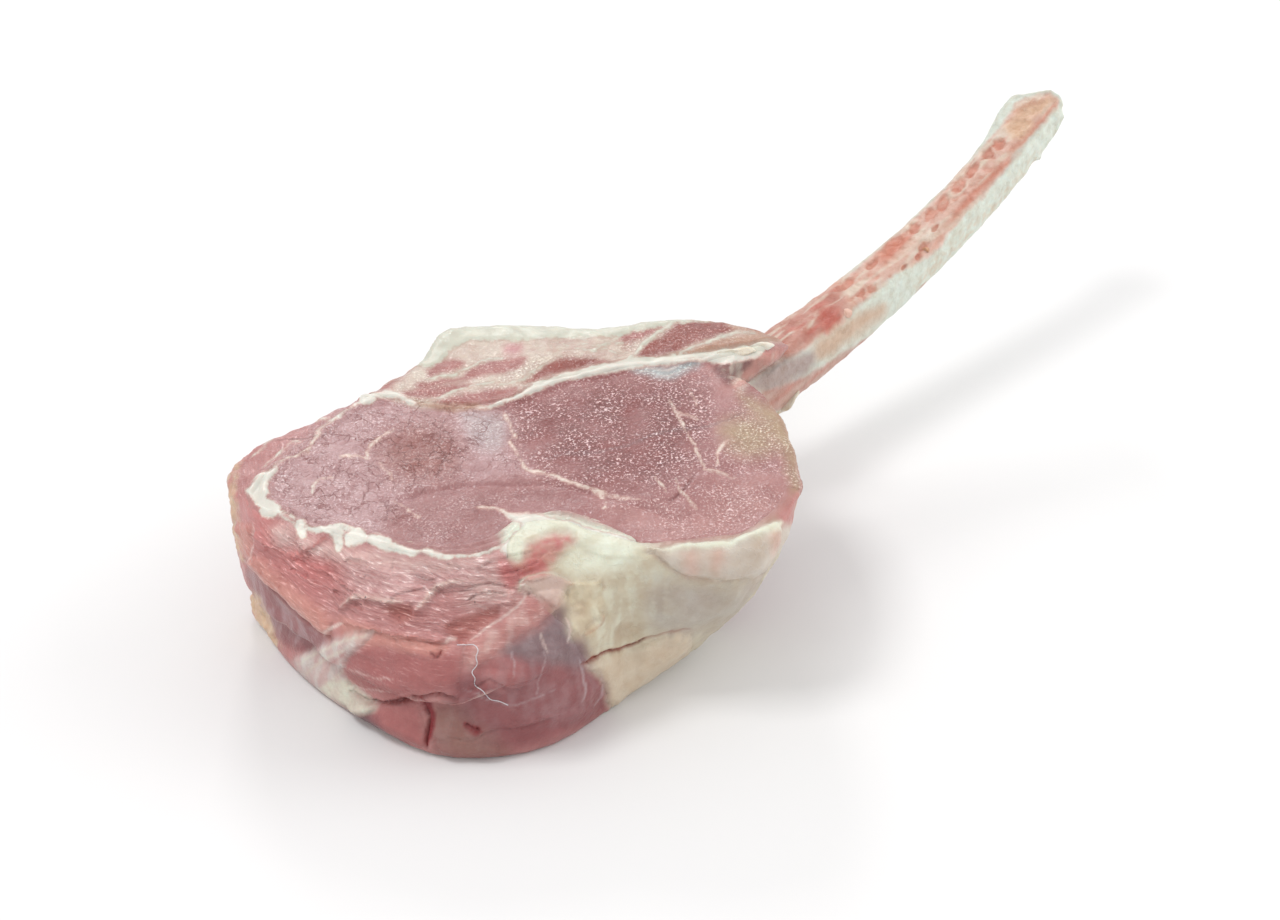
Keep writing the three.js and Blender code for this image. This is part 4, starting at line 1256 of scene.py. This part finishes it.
# %% Bone skin
BONE_RUNS = np.array((0.66, 0.72, 0.22))
SPUR, SPUR_HEIGHT, SPUR_WIDTH = (1042, 160), 2.5, 3.5
TIP_TOP, TIP_FOOT = 95, 150
TIP_LEFT, TIP_MIDDLE, TIP_RIGHT = 1000, 1016, 1052
TIP_WIDER, TIP_LONGER = 2.0, 4.6
bone = fine_copy(["rib_bone"], "rib", 0.45, 3)
points, spots = read(bone, "co"), in_picture(read(bone, "co"))
end = 1 - soft(spots[:, 1], TIP_TOP, TIP_FOOT)
sideways = np.interp(spots[:, 0], (TIP_LEFT, TIP_MIDDLE, TIP_RIGHT), (-TIP_WIDER, 0, TIP_WIDER)) * end
upward = end * TIP_LONGER * soft(spots[:, 0], TIP_MIDDLE, TIP_RIGHT + 2)
points += MM * (sideways[:, None] * RIGHT + upward[:, None] * UP)
place(bone, points)
spots = ragged_spots(bone, 1.0)
facing = soft(turned_to_camera(points, read(bone, "normal")), 0.0, EDGE_ON)
along_bone = points - 0.85 * (points @ BONE_RUNS)[:, None] * BONE_RUNS
cells = np.zeros(len(points))
for x, y, length, width, leans in BONE_CELLS:
    out = spots - (x, y)
    turn = math.radians(leans)
    run = (out[:, 0] * math.cos(turn) - out[:, 1] * math.sin(turn)) / (length / 2)
    off = (out[:, 0] * math.sin(turn) + out[:, 1] * math.cos(turn)) / (width / 2)
    reach = np.hypot(run, off)
    cells = np.maximum(cells, 1 - soft(reach + 0.25 * swell(points, 1.6, 75), 0.7, 1.25))
sawn = facing * patch(spots, 3, SAWN_FACE)
flesh_end = facing * patch(spots, 6, SAWN_FLESH)
sponge = sawn * (1 - flesh_end) * soft(swell(points, 2.4, 63), 0.1, 0.5)
edge_red = facing * stroke(spots, 8, 4, MARROW_EDGE) * soft(swell(along_bone, 3, 67), -0.4, 0.3)
tip = soft(points[:, 0], 0.158, 0.167)
relief = 0.35 * swell(points, 6, 61) + 0.15 * swell(points, 2, 62)
relief += flesh_end * (0.7 * swell(along_bone, 2.2, 64) + 0.5 * swell(points, 4, 69))
relief += SPUR_HEIGHT * np.exp(-((spots - SPUR) ** 2).sum(1) / (2 * SPUR_WIDTH ** 2))
relief += 0.8 * tip * swell(points, 3, 68) - facing * (0.7 * cells + 0.5 * edge_red) - 0.3 * sponge
place(bone, points + relief[:, None] * MM * read(bone, "normal"))
print(f"rib: relief from {relief.min():.1f} to {relief.max():.1f} mm")

# %% [markdown]
# The colours go on from the broad to the small: white bone, the sponge of the sawn face, cream between
# its cells, marrow in them, flesh near the meat, and the strip of flesh along the underside.

# %% Bone colour
tint = base_coat(bone, BONE_WHITE)
paint(tint, 0.7 * facing * patch(spots, 5, PEELING) * soft(swell(points, 1.6, 70), -0.3, 0.4), PEEL)
paint(tint, sawn, SPONGE)
paint(tint, 0.45 * sponge, MARROW)
paint(tint, 0.8 * sawn * soft(-swell(along_bone, 1.8, 65), -0.05, 0.3), BONE_CREAM)
paint(tint, 0.85 * facing * cells * (0.75 + 0.25 * swell(points, 1.8, 71)), MARROW)
paint(tint, 0.7 * edge_red, MARROW)
paint(tint, flesh_end * (0.75 + 0.25 * soft(swell(points, 4, 66), -0.2, 0.3)), BONE_FLESH)
paint(tint, 0.7 * flesh_end * soft(swell(along_bone, 1.5, 72), 0.15, 0.45), BONE_CREAM)
paint(tint, 0.6 * flesh_end * soft(-swell(along_bone, 2.0, 73), 0.2, 0.5), FLESH_RED)
for colour, edge, outline in BONE_FIELDS:
    paint(tint, facing * patch(spots, edge, outline), colour)
paint(tint, patch(spots, 3, UNDER_FLESH) * (0.8 + 0.2 * swell(along_bone, 2, 74)), BONE_FLESH)
# Painted shade: the bone's faces that look up are painted darker
tint *= 1 - 0.2 * soft(read(bone, "normal")[:, 2], 0.3, 0.8)[:, None]
keep(bone, tint=tint)
finish_piece(bone, raw_fat("sawn bone", lump=3, sheen=0.42, depth=1.2), "bone", "rib_bone")
print("rib painted and finished")

# %% [markdown]
# ## Shreds and threads
# The knife left loose bits: lumps of fat where the back seam ends beside the bone, scraps and a small
# spur on the bone, and one pale nerve that hangs over the front. Each lump starts as a ball. Its seat is
# where the camera's line of sight through a pixel meets the skin. Every point of the ball is then laid
# on the skin nearest to it, and its height becomes the thickness, so a lump hugs whatever carries it.

# %% Shreds
SHRED_ROUNDS = 5
TO_STEAK = float(np.linalg.norm(STANDS_AT))
LOOSE_CREAM, LOOSE_WHITE, LOOSE_ROSE = "#d6cfbf", "#dcd8cc", "#c5907f"
NUB_PINK, SPUR_TAN = "#d6b3a4", "#b98f72"
skin = search_tree([piece.data for piece in finished])
loose_fat = raw_fat("loose fat and dried skin", lump=2.5, sheen=0.4, depth=1.2)


def landing(pixel):
    """Where the line of sight through a pixel meets the skin, or comes nearest to it, and the skin's
    direction there."""
    hit, normal, _, _ = skin.ray_cast(Vector(STANDS_AT), sight(pixel))
    if hit is None:
        hit, normal, _, _ = skin.find_nearest(Vector(STANDS_AT) + TO_STEAK * sight(pixel))
    return hit, normal


def as_piece(shape, name):
    """Makes a finished shape a smooth piece whose faces point outward."""
    bmesh.ops.recalc_face_normals(shape, faces=shape.faces)
    piece = bpy.data.objects.new(name, bpy.data.meshes.new(name))
    shape.to_mesh(piece.data)
    shape.free()
    piece.data.shade_smooth()
    bpy.context.scene.collection.objects.link(piece)
    return piece


def shreds(name, slot, lumps):
    """Lumps on the skin: (colour, pixel, length, width, turn in degrees, thickness), sizes in mm."""
    heap = bmesh.new()
    tints = []
    for number, (colour, middle, length, width, turn, thick) in enumerate(lumps):
        ball = bmesh.ops.create_icosphere(heap, subdivisions=4, radius=1)["verts"]
        seat = landing(middle)[0]
        spin = Matrix.Rotation(math.radians(-turn), 2)
        shift = Vector((7.7 * number, 3.1, 5.3))
        for vertex in ball:
            ripple = 1 + 0.45 * noise.noise(vertex.co * 1.6 + shift)
            ripple += 0.2 * noise.noise(vertex.co * 4 + shift)
            reach = spin @ Vector((vertex.co.x * length / 2, vertex.co.y * width / 2)) * ripple * MM
            hit, normal, _, _ = skin.find_nearest(seat + reach.x * Vector(RIGHT) - reach.y * Vector(UP))
            vertex.co = hit + normal * vertex.co.z * thick * MM * ripple
        tints += [linear(colour)] * len(ball)
    smooth_over(heap, SHRED_ROUNDS)
    piece = as_piece(heap, name)
    keep(piece, tint=np.array(tints))
    finish_piece(piece, loose_fat, slot)
    print(f"{name}: {len(lumps)} lumps")


shreds("seam_end", "seam_fat", [
    (LOOSE_CREAM, (737, 352), 13, 3.5, 12, 0.8), (LOOSE_WHITE, (761, 345), 12, 5, 28, 1.0)])
shreds("bone_scraps", "bone", [
    (NUB_PINK, (848, 313), 3.6, 3.2, 0, 0.5), (LOOSE_CREAM, (787, 404), 10, 5, 35, 1.6),
    (LOOSE_ROSE, (796, 404), 6, 2.5, 40, 1.6), (SPUR_TAN, (1041, 159), 2.6, 1.3, -30, 1.0)])

# %% [markdown]
# A thread is a small ring of points, pushed along its path from one landing to the next and closed
# at both ends.

# %% Threads
THREAD_SIDES = 8
NERVE_WHITE = "#dcd6da"


def thread(name, slot, colour, width, line):
    """A round thread of some mm that lies on the skin along a drawn line."""
    path = []
    for pixel in rounded(line):
        hit, normal = landing(pixel)
        path.append(hit + normal * 0.3 * width * MM)
    tube = bmesh.new()
    ring = bmesh.ops.create_circle(tube, segments=THREAD_SIDES, radius=width / 2 * MM)["verts"]
    before = Matrix.Identity(4)
    for i, spot in enumerate(path):
        course = path[min(i + 1, len(path) - 1)] - path[max(i - 1, 0)]
        stance = Matrix.Translation(spot) @ course.to_track_quat("Z", "Y").to_matrix().to_4x4()
        if i:
            edges = [edge for edge in tube.edges if all(vertex in ring for vertex in edge.verts)]
            grown = bmesh.ops.extrude_edge_only(tube, edges=edges)["geom"]
            ring = [part for part in grown if isinstance(part, bmesh.types.BMVert)]
        bmesh.ops.transform(tube, matrix=stance @ before.inverted(), verts=ring)
        before = stance
    bmesh.ops.holes_fill(tube, edges=tube.edges)
    piece = as_piece(tube, name)
    keep(piece, tint=base_coat(piece, colour))
    finish_piece(piece, loose_fat, slot)
    print(f"{name}: {len(path)} steps")


thread("nerve", "outer_lean", NERVE_WHITE, 0.27, [
    (457, 645), (466, 645), (474, 645), (478, 650), (476, 657), (477, 664), (472, 672), (475, 678),
    (475, 685), (483, 691), (490, 699), (499, 701), (508, 705)])
